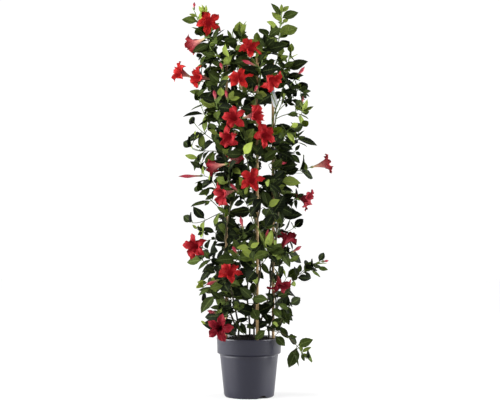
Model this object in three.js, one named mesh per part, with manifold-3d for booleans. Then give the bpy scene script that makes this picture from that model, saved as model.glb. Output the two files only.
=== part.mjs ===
// A potted mandevilla: six twining stems on three canes, in a round nursery pot.
// Millimetres, +Z up, origin under the middle of the pot, the plant's best side towards -Y.

import * as THREE from "three";
import { mergeVertices } from "three/addons/utils/BufferGeometryUtils.js";
import Module from "manifold-3d";

const wasm = await Module();
wasm.setup();
const { Manifold, Mesh: ManifoldMesh } = wasm;

// ---------------------------------------------------------------------------
// Driving dimensions
// ---------------------------------------------------------------------------

const GAP = 0.35; // between pieces that touch on the real plant
const CLEAR = 0.45; // least room between leaves of different stems
const ROOT_VOLUME = 2; // mm3 that a leaf may share with its own vine, at its root

const POT = {
  height: 189,
  rimRadius: 105,
  lipHeight: 5,
  lipOut: 0.8,
  collarHeight: 49,
  collarFootRadius: 102.6,
  ledgeHeight: 4,
  bodyTopRadius: 94.3,
  bodyFootRadius: 81,
  footRound: 6,
  wall: 2.3,
  floor: 3,
  sides: 28,
};

const DRAIN = { count: 3, shift: 0.783, radius: 20, axisZ: -9, length: 26, sides: 8 };

const SOIL = { edgeZ: 178, crownZ: 197, lump: 1.8, socketRoom: 0.9, socketSides: 6 };

const CANE = { radius: 4.7, footZ: 70, topZ: 1085, ridge: 0.5, internode: 172, sides: 8 };

const CANES = {
  cane_front: [26, -74],
  cane_right: [78, 10],
  cane_left: [-74, 26],
};

const LABEL = {
  cane: "cane_right",
  ringZ: 990,
  ringHeight: 4,
  ringInner: 5.5,
  ringOuter: 6.3,
  width: 18,
  length: 60,
  thickness: 0.9,
  tilt: 18,
};

// Twining: distance of a stem from its cane's axis, height of one turn, and where it starts and lets go.
const TWINE = { radius: 10, pitch: 205, fromZ: 275, toZ: 1055, pointsPerTurn: 12 };

const STEM = {
  rootZ: 143,
  collarZ: 195,
  freeZ: 226,
  footRadius: 3.1,
  topRadius: 2,
  sides: 3,
  windingStep: 36,
  freeStep: 52,
};
const SHOOT = { footRadius: 1.5, tipRadius: 1.25, sides: 3, step: 52 };

const LEAF = { length: 66, lengthSpread: 12, widthShare: 0.54, thickness: 0.8, neck: 7, neckHalf: 1.5 };
const PAIRS = {
  nearest: 36, // to the main stem, along a shoot
  shootStep: 44,
  stemFirst: 130,
  stemStep: 430,
  topPairs: 3,
  topStep: 48,
  tipShare: 0.97,
  bloomShare: 0.7,
};

const BLOOM = {
  radius: 40,
  tube: 54,
  waist: [6.4, -24.3],
  mouth: [11.4, -10],
  throat: [9.6, -8.2],
  thickness: 0.9,
  notchShare: 0.5,
  shoulderShare: 0.86,
  tipShare: 1.1,
};
const BUD = { radius: 5.2, share: 0.16, sides: 5 };

// Gaps through the plant, seen from the front: left, right, foot and top.
const OPEN_SPACES = [
  [36, 76, 880, 948],
  [85, 101, 880, 948],
  [112, 140, 880, 948],
  [43, 78, 716, 792],
  [-46, -34, 560, 636],
  [-22, -3, 560, 636],
  [30, 43, 560, 636],
  [30, 65, 358, 440],
  [111, 134, 358, 440],
  [-58, -44, 230, 266],
  [2, 19, 230, 266],
  [143, 163, 598, 636],
  [64, 104, 946, 1004], // where the label hangs
];
// Where the gaps are seen from: along -Y from the plant, at a height of z.
const VIEWER = { x: 3, z: 490, distance: 3600 };

// Main stems: where each leaves the soil, then either the cane that it winds round, with the
// side on which it starts and its free top, or the way that it takes among the canes.
const MAIN_STEMS = {
  vine_left: {
    root: [-46, 18],
    cane: "cane_left",
    startTurn: 0,
    way: [
      [-101, -8, 1100],
      [-137, -20, 1160],
      [-164, -25, 1212],
      [-176, -25, 1244],
    ],
  },
  vine_front: {
    root: [16, -46],
    cane: "cane_front",
    startTurn: 120,
    way: [
      [6, -62, 1095],
      [-22, -48, 1150],
      [-28, -42, 1198],
    ],
  },
  vine_right: {
    root: [64, -18],
    cane: "cane_right",
    startTurn: -36,
    way: [
      [95, 8, 1100],
      [98, 5, 1165],
      [103, 0, 1217],
      [110, 0, 1262],
    ],
  },
  vine_back: {
    root: [2, 40],
    way: [
      [-6, 62, 340],
      [22, 96, 590],
      [-16, 84, 830],
      [-34, 62, 1040],
      [-56, 60, 1196],
    ],
  },
  vine_inner_left: {
    root: [-34, -24],
    way: [
      [-52, -42, 320],
      [-78, -58, 480],
      [-58, -72, 640],
      [-84, -52, 800],
      [-98, -56, 930],
      [-88, -72, 1030],
    ],
  },
  vine_inner_right: {
    root: [34, -6],
    way: [
      [62, -30, 320],
      [84, -48, 500],
      [98, -40, 690],
      [72, -52, 860],
      [112, -20, 1000],
      [137, 28, 1132],
    ],
  },
};

// Blooms: the stem and height that each grows from, the middle of its face, the way it looks
// (degrees right of the front, and up), and its share of the full spread.
const BLOOMS = [
  { stem: "vine_left", from: 1135, at: [-129, -60, 1204], turn: 10, lift: 15, share: 1 },
  { stem: "vine_left", from: 1092, at: [-180, -38, 1135], turn: -126, lift: -18, share: 0.85 },
  { stem: "vine_left", from: 985, at: [-226, -24, 1048], turn: -56, lift: 16, share: 0.85 },
  { stem: "vine_left", from: 945, at: [-166, -46, 1028], turn: -56, lift: 2, share: 0.88 },
  { stem: "vine_front", from: 950, at: [-29, -124, 1017], turn: -8, lift: 38, share: 0.95 },
  { stem: "vine_front", from: 1050, at: [6, -98, 1117], turn: 14, lift: 38, share: 0.95 },
  { stem: "vine_front", from: 960, at: [72, -112, 1006], turn: 42, lift: -46, share: 0.95 },
  { stem: "vine_inner_left", from: 800, at: [-48, -146, 888], turn: -12, lift: 12, share: 0.95 },
  { stem: "vine_front", from: 820, at: [22, -128, 896], turn: 52, lift: 6, share: 0.9 },
  { stem: "vine_inner_left", from: 745, at: [-68, -136, 822], turn: -34, lift: -28, share: 0.9 },
  { stem: "vine_front", from: 762, at: [52, -134, 832], turn: 20, lift: 4, share: 0.95 },
  { stem: "vine_front", from: 622, at: [9, -138, 694], turn: 0, lift: 22, share: 1 },
  { stem: "vine_inner_left", from: 690, at: [-44, -28, 764], turn: 160, lift: 25, share: 0.8 },
  { stem: "vine_left", from: 670, at: [-116, -62, 737], turn: -122, lift: -8, share: 0.7 },
  { stem: "vine_inner_left", from: 590, at: [-86, -122, 645], turn: -60, lift: -18, share: 0.95 },
  { stem: "vine_right", from: 640, at: [252, -10, 752], turn: 99, lift: 14, share: 0.8 },
  { stem: "vine_right", from: 585, at: [186, -20, 634], turn: 72, lift: -22, share: 0.95 },
  { stem: "vine_left", from: 420, at: [-176, -60, 484], turn: -28, lift: 6, share: 1 },
  { stem: "vine_inner_left", from: 330, at: [-58, -126, 406], turn: 0, lift: 36, share: 1 },
  { stem: "vine_right", from: 430, at: [123, -10, 512], turn: 150, lift: 48, share: 0.9 },
  { stem: "vine_inner_right", from: 372, at: [99, -72, 352], turn: 22, lift: -60, share: 0.95 },
  { stem: "vine_inner_left", from: 232, at: [-94, -136, 228], turn: -6, lift: 0, share: 1 },
];

// Closed flowers and buds: the stem and height that each grows from, its foot and its tip.
const BUDS = [
  { stem: "vine_left", from: 1236, foot: [-179, -25, 1252], tip: [-178, -25, 1277] },
  { stem: "vine_inner_left", from: 1000, foot: [-84, -86, 1043], tip: [-92, -92, 1069] },
  { stem: "vine_front", from: 1000, foot: [24, -108, 1055], tip: [-24, -122, 1071] },
  { stem: "vine_inner_left", from: 885, foot: [-105, -112, 943], tip: [-111, -116, 977] },
  { stem: "vine_inner_left", from: 915, foot: [-68, -112, 947], tip: [-75, -116, 978] },
  { stem: "vine_right", from: 960, foot: [154, -20, 1033], tip: [181, -25, 1066] },
  { stem: "vine_right", from: 880, foot: [172, -18, 946], tip: [175, -22, 970] },
  { stem: "vine_left", from: 650, foot: [-152, -20, 711], tip: [-229, -25, 709] },
  { stem: "vine_inner_right", from: 690, foot: [70, -66, 748], tip: [122, -62, 750] },
  { stem: "vine_front", from: 600, foot: [-34, -118, 655], tip: [-60, -128, 680] },
  { stem: "vine_inner_left", from: 470, foot: [-19, -92, 538], tip: [-28, -94, 579] },
  { stem: "vine_inner_right", from: 430, foot: [56, -104, 487], tip: [59, -108, 538] },
  { stem: "vine_inner_left", from: 415, foot: [-36, -112, 459], tip: [-53, -120, 484] },
  { stem: "vine_right", from: 400, foot: [137, -34, 464], tip: [169, -34, 484] },
  { stem: "vine_inner_left", from: 318, foot: [-97, -100, 377], tip: [-136, -110, 362] },
  { stem: "vine_inner_left", from: 240, foot: [-101, -92, 272], tip: [-132, -102, 281] },
  { stem: "vine_front", from: 930, foot: [14, -112, 968], tip: [28, -122, 992] },
  { stem: "vine_right", from: 345, foot: [236, -12, 434], tip: [258, -12, 437] },
];

// Leafy side shoots: the stem and height that each grows from, its end and its pairs of leaves.
const LEAFY = [
  { stem: "vine_front", from: 1060, end: [62, -58, 1158], pairs: 2 },
  { stem: "vine_back", from: 1060, end: [24, 52, 1150], pairs: 2 },
  { stem: "vine_right", from: 880, end: [162, 24, 1000], pairs: 2 },
  { stem: "vine_right", from: 745, end: [172, 22, 880], pairs: 2 },
  { stem: "vine_right", from: 540, end: [150, 30, 640], pairs: 2 },
  { stem: "vine_left", from: 800, end: [-178, -10, 884], pairs: 3 },
  { stem: "vine_left", from: 730, end: [-188, 2, 806], pairs: 2 },
  { stem: "vine_left", from: 880, end: [-165, 30, 965], pairs: 2 },
  { stem: "vine_left", from: 590, end: [-152, 10, 668], pairs: 2 },
  { stem: "vine_left", from: 500, end: [-186, -12, 560], pairs: 2 },
  { stem: "vine_left", from: 350, end: [-152, -6, 440], pairs: 2 },
  { stem: "vine_inner_left", from: 300, end: [-148, -44, 352], pairs: 2 },
  { stem: "vine_left", from: 270, end: [-138, 20, 300], pairs: 2 },
  { stem: "vine_inner_right", from: 262, end: [132, -52, 296], pairs: 2 },
  { stem: "vine_inner_right", from: 560, end: [60, -118, 610], pairs: 2 },
  { stem: "vine_front", from: 700, end: [-18, -120, 772], pairs: 2 },
  { stem: "vine_front", from: 380, end: [14, -124, 450], pairs: 2 },
  { stem: "vine_front", from: 285, end: [10, -116, 318], pairs: 2 },
  { stem: "vine_inner_right", from: 790, end: [128, -70, 850], pairs: 2 },
  { stem: "vine_inner_right", from: 930, end: [60, -84, 1010], pairs: 2 },
  { stem: "vine_back", from: 300, end: [-70, 112, 370], pairs: 2 },
  { stem: "vine_back", from: 380, end: [62, 120, 450], pairs: 2 },
  { stem: "vine_back", from: 500, end: [-50, 132, 570], pairs: 2 },
  { stem: "vine_back", from: 620, end: [92, 112, 700], pairs: 2 },
  { stem: "vine_back", from: 720, end: [-80, 118, 800], pairs: 2 },
  { stem: "vine_back", from: 820, end: [40, 128, 900], pairs: 1 },
  { stem: "vine_back", from: 920, end: [-100, 92, 1000], pairs: 2 },
  { stem: "vine_back", from: 1000, end: [30, 104, 1080], pairs: 2 },
  { stem: "vine_right", from: 310, end: [124, 82, 380], pairs: 2 },
  { stem: "vine_right", from: 470, end: [148, 70, 545], pairs: 2 },
];

// A long shoot that hangs over the rim of the pot.
const TRAILING = {
  stem: "vine_inner_right",
  from: 236,
  way: [
    [78, -52, 220],
    [120, -66, 198],
    [152, -72, 168],
    [182, -76, 128],
  ],
  pairs: 3,
};

const SEED = 20417;

const FINISH = {
  pot: { color: 0x4d4f59, roughness: 0.5, metalness: 0 },
  soil: { color: 0x17120e, roughness: 0.95, metalness: 0 },
  cane: { color: 0xc9a56b, roughness: 0.6, metalness: 0 },
  label: { color: 0xeef0f2, roughness: 0.4, metalness: 0 },
  green: { color: 0x2f4d22, roughness: 0.45, metalness: 0 },
  bloom: { color: 0xc8141c, roughness: 0.55, metalness: 0 },
  bud: { color: 0xb8404a, roughness: 0.5, metalness: 0 },
};

// ---------------------------------------------------------------------------
// Small helpers
// ---------------------------------------------------------------------------

const UP = new THREE.Vector3(0, 0, 1);
const AHEAD = new THREE.Vector3(0, -1, 0);
const radians = THREE.MathUtils.degToRad;
const vector = ([x, y, z]) => new THREE.Vector3(x, y, z);

function makeRandom(seed) {
  let state = seed >>> 0;
  return () => {
    state = (Math.imul(state, 1664525) + 1013904223) >>> 0;
    return state / 4294967296;
  };
}

const random = makeRandom(SEED);
const spread = (amount) => (random() * 2 - 1) * amount;

// A closed geometry as a solid, facing out whichever way its faces were wound.
function solidOf(geometry) {
  const bare = geometry.index ? geometry.toNonIndexed() : geometry.clone();
  for (const name of Object.keys(bare.attributes)) {
    if (name !== "position") bare.deleteAttribute(name);
  }
  const merged = mergeVertices(bare, 1e-4);
  const corners = [];
  const index = merged.index.array;
  for (let i = 0; i < index.length; i += 3) {
    const [a, b, c] = [index[i], index[i + 1], index[i + 2]];
    if (a !== b && b !== c && c !== a) corners.push(a, b, c);
  }
  const vertProperties = merged.attributes.position.array;
  const build = (list) =>
    new Manifold(new ManifoldMesh({ numProp: 3, vertProperties, triVerts: new Uint32Array(list) }));
  const solid = build(corners);
  if (solid.volume() > 0) return solid;
  const turned = [];
  for (let i = 0; i < corners.length; i += 3) turned.push(corners[i], corners[i + 2], corners[i + 1]);
  return build(turned);
}

// A geometry from points and the corners of its faces.
function geometryFrom(points, faces) {
  const geometry = new THREE.BufferGeometry().setFromPoints(points);
  geometry.setIndex(faces.flat());
  return geometry;
}

function meshOf(name, solid, finish) {
  const { vertProperties, triVerts } = solid.getMesh();
  const geometry = new THREE.BufferGeometry();
  geometry.setAttribute("position", new THREE.BufferAttribute(new Float32Array(vertProperties), 3));
  geometry.setIndex(new THREE.BufferAttribute(new Uint32Array(triVerts), 1));
  geometry.computeVertexNormals();
  const mesh = new THREE.Mesh(geometry, new THREE.MeshStandardMaterial(finish));
  mesh.name = name;
  return mesh;
}

// A turned solid about the Z axis through (x, y), from [radius, height] pairs.
function turned(profile, sides, x = 0, y = 0) {
  const points = profile.map(([r, z]) => new THREE.Vector2(r, z));
  const geometry = new THREE.LatheGeometry(points, sides);
  geometry.rotateX(Math.PI / 2);
  geometry.translate(x, y, 0);
  return geometry;
}

// The solid's largest body, without the loose scraps that joining can leave.
function largest(solid) {
  const bodies = solid.decompose();
  return bodies.reduce((best, body) => (body.volume() > best.volume() ? body : best));
}

// A stem's centre line: its curve, and the straight stretches that its solid has along it.
function centreLine(curve, step) {
  const steps = Math.max(2, Math.round(curve.getLength() / step));
  return { curve, steps, middles: curve.getSpacedPoints(steps), length: curve.getLength() };
}

// The place and the direction on a centre line at a share of its length.
function alongLine({ middles, steps }, share) {
  const k = Math.min(steps - 1, Math.floor(share * steps));
  const tangent = middles[k + 1].clone().sub(middles[k]).normalize();
  return { point: middles[k].clone().lerp(middles[k + 1], share * steps - k), tangent };
}

// A tapered stem along a centre line.
function stemSolid({ curve, steps, middles }, footRadius, tipRadius, sides) {
  const section = new THREE.Shape();
  for (let i = 0; i < sides; i += 1) {
    const angle = (i / sides) * Math.PI * 2;
    const place = [Math.cos(angle), Math.sin(angle)];
    if (i) section.lineTo(...place);
    else section.moveTo(...place);
  }
  const geometry = new THREE.ExtrudeGeometry(section, { steps, extrudePath: curve, bevelEnabled: false });
  const position = geometry.attributes.position;
  const point = new THREE.Vector3();
  for (let i = 0; i < position.count; i += 1) {
    point.fromBufferAttribute(position, i);
    let near = 0;
    for (let k = 1; k <= steps; k += 1) {
      if (point.distanceToSquared(middles[k]) < point.distanceToSquared(middles[near])) near = k;
    }
    const radius = THREE.MathUtils.lerp(footRadius, tipRadius, near / steps);
    point.sub(middles[near]).setLength(radius).add(middles[near]);
    position.setXYZ(i, point.x, point.y, point.z);
  }
  return solidOf(geometry);
}

// ---------------------------------------------------------------------------
// Pot, soil, canes and label
// ---------------------------------------------------------------------------

function potSolid() {
  const p = POT;
  const collarFootZ = p.height - p.collarHeight;
  const bodyTopZ = collarFootZ - p.ledgeHeight;
  const outside = [
    [0, 0],
    [p.bodyFootRadius - p.footRound, 0],
    [p.bodyFootRadius + 0.3, p.footRound],
    [p.bodyTopRadius, bodyTopZ],
    [p.collarFootRadius, collarFootZ],
    [p.rimRadius - p.lipOut, p.height - p.lipHeight],
    [p.rimRadius, p.height - p.lipHeight + 0.8],
    [p.rimRadius, p.height],
  ];
  const inside = [
    [p.rimRadius - p.lipOut - p.wall, p.height],
    [p.collarFootRadius - p.wall, collarFootZ + p.wall],
    [p.bodyTopRadius - p.wall, bodyTopZ + p.wall],
    [p.bodyFootRadius - p.wall, p.footRound + p.wall],
    [p.bodyFootRadius - p.footRound, p.floor],
    [0, p.floor],
  ];
  let solid = solidOf(turned([...outside, ...inside], p.sides));
  for (let i = 0; i < DRAIN.count; i += 1) {
    const cutter = new THREE.CylinderGeometry(DRAIN.radius, DRAIN.radius, DRAIN.length, DRAIN.sides);
    cutter.translate(0, p.bodyFootRadius, DRAIN.axisZ);
    cutter.rotateZ(radians(((i + DRAIN.shift) / DRAIN.count) * 360));
    solid = solid.subtract(solidOf(cutter));
  }
  return solid;
}

function soilSolid(sockets) {
  const p = POT;
  const room = p.wall + 0.45;
  const collarFootZ = p.height - p.collarHeight;
  const bodyTopZ = collarFootZ - p.ledgeHeight;
  const filling = [
    [0, p.floor + GAP],
    [p.bodyFootRadius - p.footRound - GAP, p.floor + GAP],
    [p.bodyFootRadius - room, p.footRound + p.wall + GAP],
    [p.bodyTopRadius - room, bodyTopZ + p.wall + GAP],
    [p.collarFootRadius - room, collarFootZ + p.wall + GAP + 0.3],
    [p.collarFootRadius - room + 0.6, SOIL.edgeZ],
    [74, SOIL.edgeZ + 7],
    [38, SOIL.crownZ - 3],
    [0, SOIL.crownZ],
  ];
  const geometry = turned(filling, p.sides);
  const position = geometry.attributes.position;
  for (let i = 0; i < position.count; i += 1) {
    const [x, y, z] = [position.getX(i), position.getY(i), position.getZ(i)];
    const lump = Math.sin(x * 0.13 + y * 0.07) + Math.cos(y * 0.17 - x * 0.05);
    if (z > SOIL.edgeZ + 1) position.setZ(i, z + SOIL.lump * lump);
  }
  return sockets.reduce((soil, socket) => soil.subtract(socket), solidOf(geometry));
}

function caneSolid([x, y]) {
  const c = CANE;
  const profile = [
    [0, c.footZ],
    [c.radius, c.footZ],
  ];
  for (let z = c.footZ + c.internode * 0.8; z < c.topZ - 20; z += c.internode) {
    profile.push([c.radius - 0.1, z - 3], [c.radius + c.ridge, z]);
  }
  profile.push([c.radius - 0.3, c.topZ], [0, c.topZ]);
  return solidOf(turned(profile, c.sides, x, y));
}

// The hole that a cane or a stem stands in.
function socketSolid([x, y], radius, footZ, sides) {
  return solidOf(
    turned(
      [
        [0, footZ - GAP],
        [radius, footZ - GAP],
        [radius, POT.height + 40],
        [0, POT.height + 40],
      ],
      sides,
      x,
      y,
    ),
  );
}

// A plain strip that hangs from a ring round its cane.
function labelSolid() {
  const l = LABEL;
  const [x, y] = CANES[l.cane];
  const ring = turned(
    [
      [l.ringInner, l.ringZ],
      [l.ringOuter, l.ringZ],
      [l.ringOuter, l.ringZ + l.ringHeight],
      [l.ringInner, l.ringZ + l.ringHeight],
      [l.ringInner, l.ringZ],
    ],
    12,
    x,
    y,
  );
  const strip = new THREE.BoxGeometry(l.width, l.thickness, l.length);
  strip.translate(0, 0, -l.length / 2 + l.ringHeight);
  strip.rotateY(radians(-l.tilt));
  strip.translate(x - 6, y - l.ringOuter, l.ringZ + 2);
  return solidOf(ring).add(solidOf(strip));
}

// ---------------------------------------------------------------------------
// Leaves, blooms and buds
// ---------------------------------------------------------------------------

// Corners of a leaf's faces: root point, neck of three points, six points at the widest place,
// four nearer the tip, tip.
const LEAF_FACES = [
  // upper face
  [2, 5, 1],
  [1, 5, 4],
  [2, 6, 5],
  [5, 10, 4],
  [6, 11, 5],
  [5, 11, 10],
  [11, 14, 10],
  // lower face, split as the upper one is
  [3, 9, 8],
  [3, 8, 7],
  [8, 9, 13],
  [7, 8, 12],
  [8, 13, 12],
  [12, 13, 14],
  // edges
  [1, 4, 9],
  [1, 9, 3],
  [2, 3, 7],
  [2, 7, 6],
  [4, 10, 13],
  [4, 13, 9],
  [6, 7, 12],
  [6, 12, 11],
  [10, 14, 13],
  [11, 12, 14],
  // stalk
  [0, 2, 1],
  [0, 1, 3],
  [0, 3, 2],
];

// A pointed oval blade, folded a little along its rib and bent down towards its tip.
function leafSolid(leaf, swell = 0) {
  const along = leaf.direction;
  const above = leaf.normal;
  const across = new THREE.Vector3().crossVectors(above, along);
  const place = (u, v, w) => {
    const bend = leaf.sag * (u / leaf.length) ** 2;
    return leaf.root
      .clone()
      .addScaledVector(along, u)
      .addScaledVector(across, v)
      .addScaledVector(above, w + leaf.fold * Math.abs(v) - bend);
  };
  const half = LEAF.thickness / 2 + swell;
  const widest = leaf.length * 0.38;
  const v1 = leaf.width / 2 + swell;
  const upper = leaf.length * 0.7;
  const v2 = leaf.width * 0.42 + swell;
  const points = [
    place(0, 0, 0),
    place(LEAF.neck, LEAF.neckHalf + swell, half),
    place(LEAF.neck, -LEAF.neckHalf - swell, half),
    place(LEAF.neck, 0, -1.3 - swell),
    place(widest, v1, half + leaf.wave),
    place(widest, 0, half),
    place(widest, -v1, half - leaf.wave),
    place(widest, -v1, -half - leaf.wave),
    place(widest, 0, -half),
    place(widest, v1, -half + leaf.wave),
    place(upper, v2, half - leaf.wave),
    place(upper, -v2, half + leaf.wave),
    place(upper, -v2, -half + leaf.wave),
    place(upper, v2, -half - leaf.wave),
    place(leaf.length + swell, 0, 0),
  ];
  return solidOf(geometryFrom(points, LEAF_FACES));
}

// Axes of a thing that looks along a direction.
function axesOf(direction) {
  const side = new THREE.Vector3().crossVectors(UP, direction);
  if (side.lengthSq() < 1e-4) side.set(1, 0, 0);
  side.normalize();
  return { side, top: new THREE.Vector3().crossVectors(direction, side) };
}

function lookingAlong(turn, lift) {
  const [a, e] = [radians(turn), radians(lift)];
  return new THREE.Vector3(Math.sin(a) * Math.cos(e), -Math.cos(a) * Math.cos(e), Math.sin(e));
}

// A trumpet with five broad lobes, each with a round shoulder and a pointed tip.
function bloomSolid(bloom, number) {
  const direction = lookingAlong(bloom.turn, bloom.lift);
  const { side, top } = axesOf(direction);
  const middle = vector(bloom.at);
  const reach = BLOOM.radius * bloom.share;
  const spin = number * 29;
  const place = (degrees, radius, depth) => {
    const angle = radians(degrees + spin);
    return middle
      .clone()
      .addScaledVector(side, Math.cos(angle) * radius)
      .addScaledVector(top, Math.sin(angle) * radius)
      .addScaledVector(direction, depth);
  };
  const points = [];
  const ring = (radius, depth) => {
    const first = points.length;
    for (let lobe = 0; lobe < 5; lobe += 1) points.push(place(lobe * 72, radius, depth));
    return first;
  };
  const outline = (lift) => {
    const first = points.length;
    for (let lobe = 0; lobe < 5; lobe += 1) {
      const droop = 5 + 4 * Math.sin(number * 2.1 + lobe * 1.7);
      points.push(place(lobe * 72, reach * BLOOM.notchShare, lift));
      points.push(place(lobe * 72 + 20, reach * BLOOM.shoulderShare, lift + 1.5));
      points.push(place(lobe * 72 + 40, reach * BLOOM.tipShare, lift - droop));
    }
    return first;
  };
  points.push(place(0, 0, -BLOOM.tube));
  const foot = ring(2, -BLOOM.tube + 3);
  const waist = ring(...BLOOM.waist);
  const mouth = ring(...BLOOM.mouth);
  const back = outline(0);
  const front = outline(BLOOM.thickness);
  const throat = ring(...BLOOM.throat);
  points.push(place(0, 0, BLOOM.waist[1]));
  const deep = points.length - 1;
  const faces = [];
  for (let lobe = 0; lobe < 5; lobe += 1) {
    const next = (lobe + 1) % 5;
    faces.push([0, foot + next, foot + lobe]);
    for (const [low, high] of [
      [foot, waist],
      [waist, mouth],
    ]) {
      faces.push([low + lobe, low + next, high + next]);
      faces.push([low + lobe, high + next, high + lobe]);
    }
    const [notch, shoulder, tip, nextNotch] = [lobe * 3, lobe * 3 + 1, lobe * 3 + 2, next * 3];
    faces.push([mouth + lobe, back + shoulder, back + notch]);
    faces.push([mouth + lobe, mouth + next, back + shoulder]);
    faces.push([mouth + next, back + tip, back + shoulder]);
    faces.push([mouth + next, back + nextNotch, back + tip]);
    faces.push([throat + lobe, front + notch, front + shoulder]);
    faces.push([throat + lobe, front + shoulder, throat + next]);
    faces.push([throat + next, front + shoulder, front + tip]);
    faces.push([throat + next, front + tip, front + nextNotch]);
    faces.push([throat + lobe, throat + next, deep]);
  }
  for (let i = 0; i < 15; i += 1) {
    const j = (i + 1) % 15;
    faces.push([back + i, back + j, front + j]);
    faces.push([back + i, front + j, front + i]);
  }
  return solidOf(geometryFrom(points, faces));
}

// A closed flower: a slim spindle, fullest near its pointed tip.
function budSolid(bud) {
  const foot = vector(bud.foot);
  const tip = vector(bud.tip);
  const length = foot.distanceTo(tip);
  const fullest = Math.min(BUD.radius, length * BUD.share);
  const geometry = turned(
    [
      [0, 0],
      [fullest * 0.5, length * 0.1],
      [fullest, length * 0.62],
      [0, length],
    ],
    BUD.sides,
  );
  geometry.applyQuaternion(
    new THREE.Quaternion().setFromUnitVectors(UP, tip.clone().sub(foot).normalize()),
  );
  geometry.translate(foot.x, foot.y, foot.z);
  return solidOf(geometry);
}

// ---------------------------------------------------------------------------
// Stems and shoots
// ---------------------------------------------------------------------------

// The way of a main stem, from inside the soil to its tip.
function mainCurve(stem) {
  const [x, y] = stem.root;
  const points = [STEM.rootZ, STEM.collarZ, STEM.freeZ].map((z) => new THREE.Vector3(x, y, z));
  if (stem.cane) {
    const [cx, cy] = CANES[stem.cane];
    const rise = TWINE.pitch / TWINE.pointsPerTurn;
    for (let z = TWINE.fromZ; z <= TWINE.toZ; z += rise) {
      const angle = radians(stem.startTurn + ((z - TWINE.fromZ) / TWINE.pitch) * 360);
      points.push(
        new THREE.Vector3(cx + TWINE.radius * Math.cos(angle), cy + TWINE.radius * Math.sin(angle), z),
      );
    }
  }
  points.push(...stem.way.map(vector));
  const curve = new THREE.CatmullRomCurve3(points, false, "centripetal");
  curve.arcLengthDivisions = 600;
  return curve;
}

// The place on a main stem at a height.
function atHeight(line, z) {
  let k = 0;
  while (k < line.steps - 1 && line.middles[k + 1].z < z) k += 1;
  const [low, high] = [line.middles[k], line.middles[k + 1]];
  return low.clone().lerp(high, THREE.MathUtils.clamp((z - low.z) / (high.z - low.z), 0, 0.98));
}

// Where a shoot leaves its main stem: near a height, and on a winding stem at the place within
// half a turn of it that looks from the cane towards the shoot's end.
function leavingPoint(name, z, end) {
  const { cane } = MAIN_STEMS[name];
  if (!cane) return atHeight(mainLines[name], z);
  const axis = new THREE.Vector2(...CANES[cane]);
  const towards = new THREE.Vector2(end.x, end.y).sub(axis).normalize();
  let best;
  for (let shift = -TWINE.pitch / 2; shift <= TWINE.pitch / 2; shift += TWINE.pitch / 24) {
    const point = atHeight(mainLines[name], z + shift);
    const side = new THREE.Vector2(point.x, point.y).sub(axis).normalize().dot(towards);
    const score = side - Math.abs(shift) / (TWINE.pitch * 3);
    if (!best || score > best.score) best = { point, score };
  }
  return best.point;
}

// A side shoot leaves its stem outwards, rises and comes to its end along a given direction.
function shootCurve(start, end, endDirection) {
  const reach = start.distanceTo(end);
  const leaving = end.clone().sub(start).multiplyScalar(0.32).addScaledVector(UP, reach * 0.06);
  return new THREE.CubicBezierCurve3(
    start,
    start.clone().add(leaving),
    end.clone().addScaledVector(endDirection, -reach * 0.34),
    end,
  );
}

const mainLines = {};
for (const [name, stem] of Object.entries(MAIN_STEMS)) {
  mainLines[name] = centreLine(mainCurve(stem), stem.cane ? STEM.windingStep : STEM.freeStep);
}

// Every shoot: its stem, its centre line, and where on it pairs of leaves stand.
const shoots = [];

function addShoot(stem, curve, pairs, lastShare) {
  const line = centreLine(curve, SHOOT.step);
  const shares = [];
  for (let i = 0; i < pairs; i += 1) {
    const share = lastShare - (i * PAIRS.shootStep) / line.length;
    if (share * line.length > PAIRS.nearest) shares.push(share);
  }
  shoots.push({ stem, line, shares });
}

for (const bloom of BLOOMS) {
  const direction = lookingAlong(bloom.turn, bloom.lift);
  const end = vector(bloom.at).addScaledVector(direction, -BLOOM.tube - GAP);
  const start = leavingPoint(bloom.stem, bloom.from, end);
  const curve = shootCurve(start, end, direction);
  addShoot(bloom.stem, curve, 2, PAIRS.bloomShare);
}
for (const bud of BUDS) {
  const direction = vector(bud.tip).sub(vector(bud.foot)).normalize();
  const end = vector(bud.foot).addScaledVector(direction, -GAP);
  const start = leavingPoint(bud.stem, bud.from, end);
  addShoot(bud.stem, shootCurve(start, end, direction), 1, PAIRS.bloomShare);
}
for (const leafy of LEAFY) {
  const end = vector(leafy.end);
  const start = leavingPoint(leafy.stem, leafy.from, end);
  const direction = end.clone().sub(start).normalize().addScaledVector(UP, 0.5).normalize();
  addShoot(leafy.stem, shootCurve(start, end, direction), leafy.pairs, PAIRS.tipShare);
}
{
  const start = atHeight(mainLines[TRAILING.stem], TRAILING.from);
  const curve = new THREE.CatmullRomCurve3([start, ...TRAILING.way.map(vector)], false, "centripetal");
  addShoot(TRAILING.stem, curve, TRAILING.pairs, PAIRS.tipShare);
}

// ---------------------------------------------------------------------------
// Solids, in the order in which they take their room
// ---------------------------------------------------------------------------

const placed = []; // what a new leaf keeps clear of: { name, solid, box }

function boxOf(solid) {
  const { min, max } = solid.boundingBox();
  return new THREE.Box3(vector(min), vector(max));
}

function take(name, solid) {
  placed.push({ name, solid, box: boxOf(solid) });
  return solid;
}

const sockets = [];
for (const place of Object.values(CANES)) {
  sockets.push(socketSolid(place, CANE.radius + CANE.ridge + GAP, CANE.footZ, CANE.sides));
}
for (const stem of Object.values(MAIN_STEMS)) {
  sockets.push(socketSolid(stem.root, STEM.footRadius + SOIL.socketRoom, STEM.rootZ, SOIL.socketSides));
}

const group = new THREE.Group();
group.add(meshOf("pot", take("pot", potSolid()), FINISH.pot));
group.add(meshOf("soil", take("soil", soilSolid(sockets)), FINISH.soil));
for (const [name, place] of Object.entries(CANES)) {
  group.add(meshOf(name, take(name, caneSolid(place)), FINISH.cane));
}
group.add(meshOf("label", take("label", labelSolid()), FINISH.label));

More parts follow.
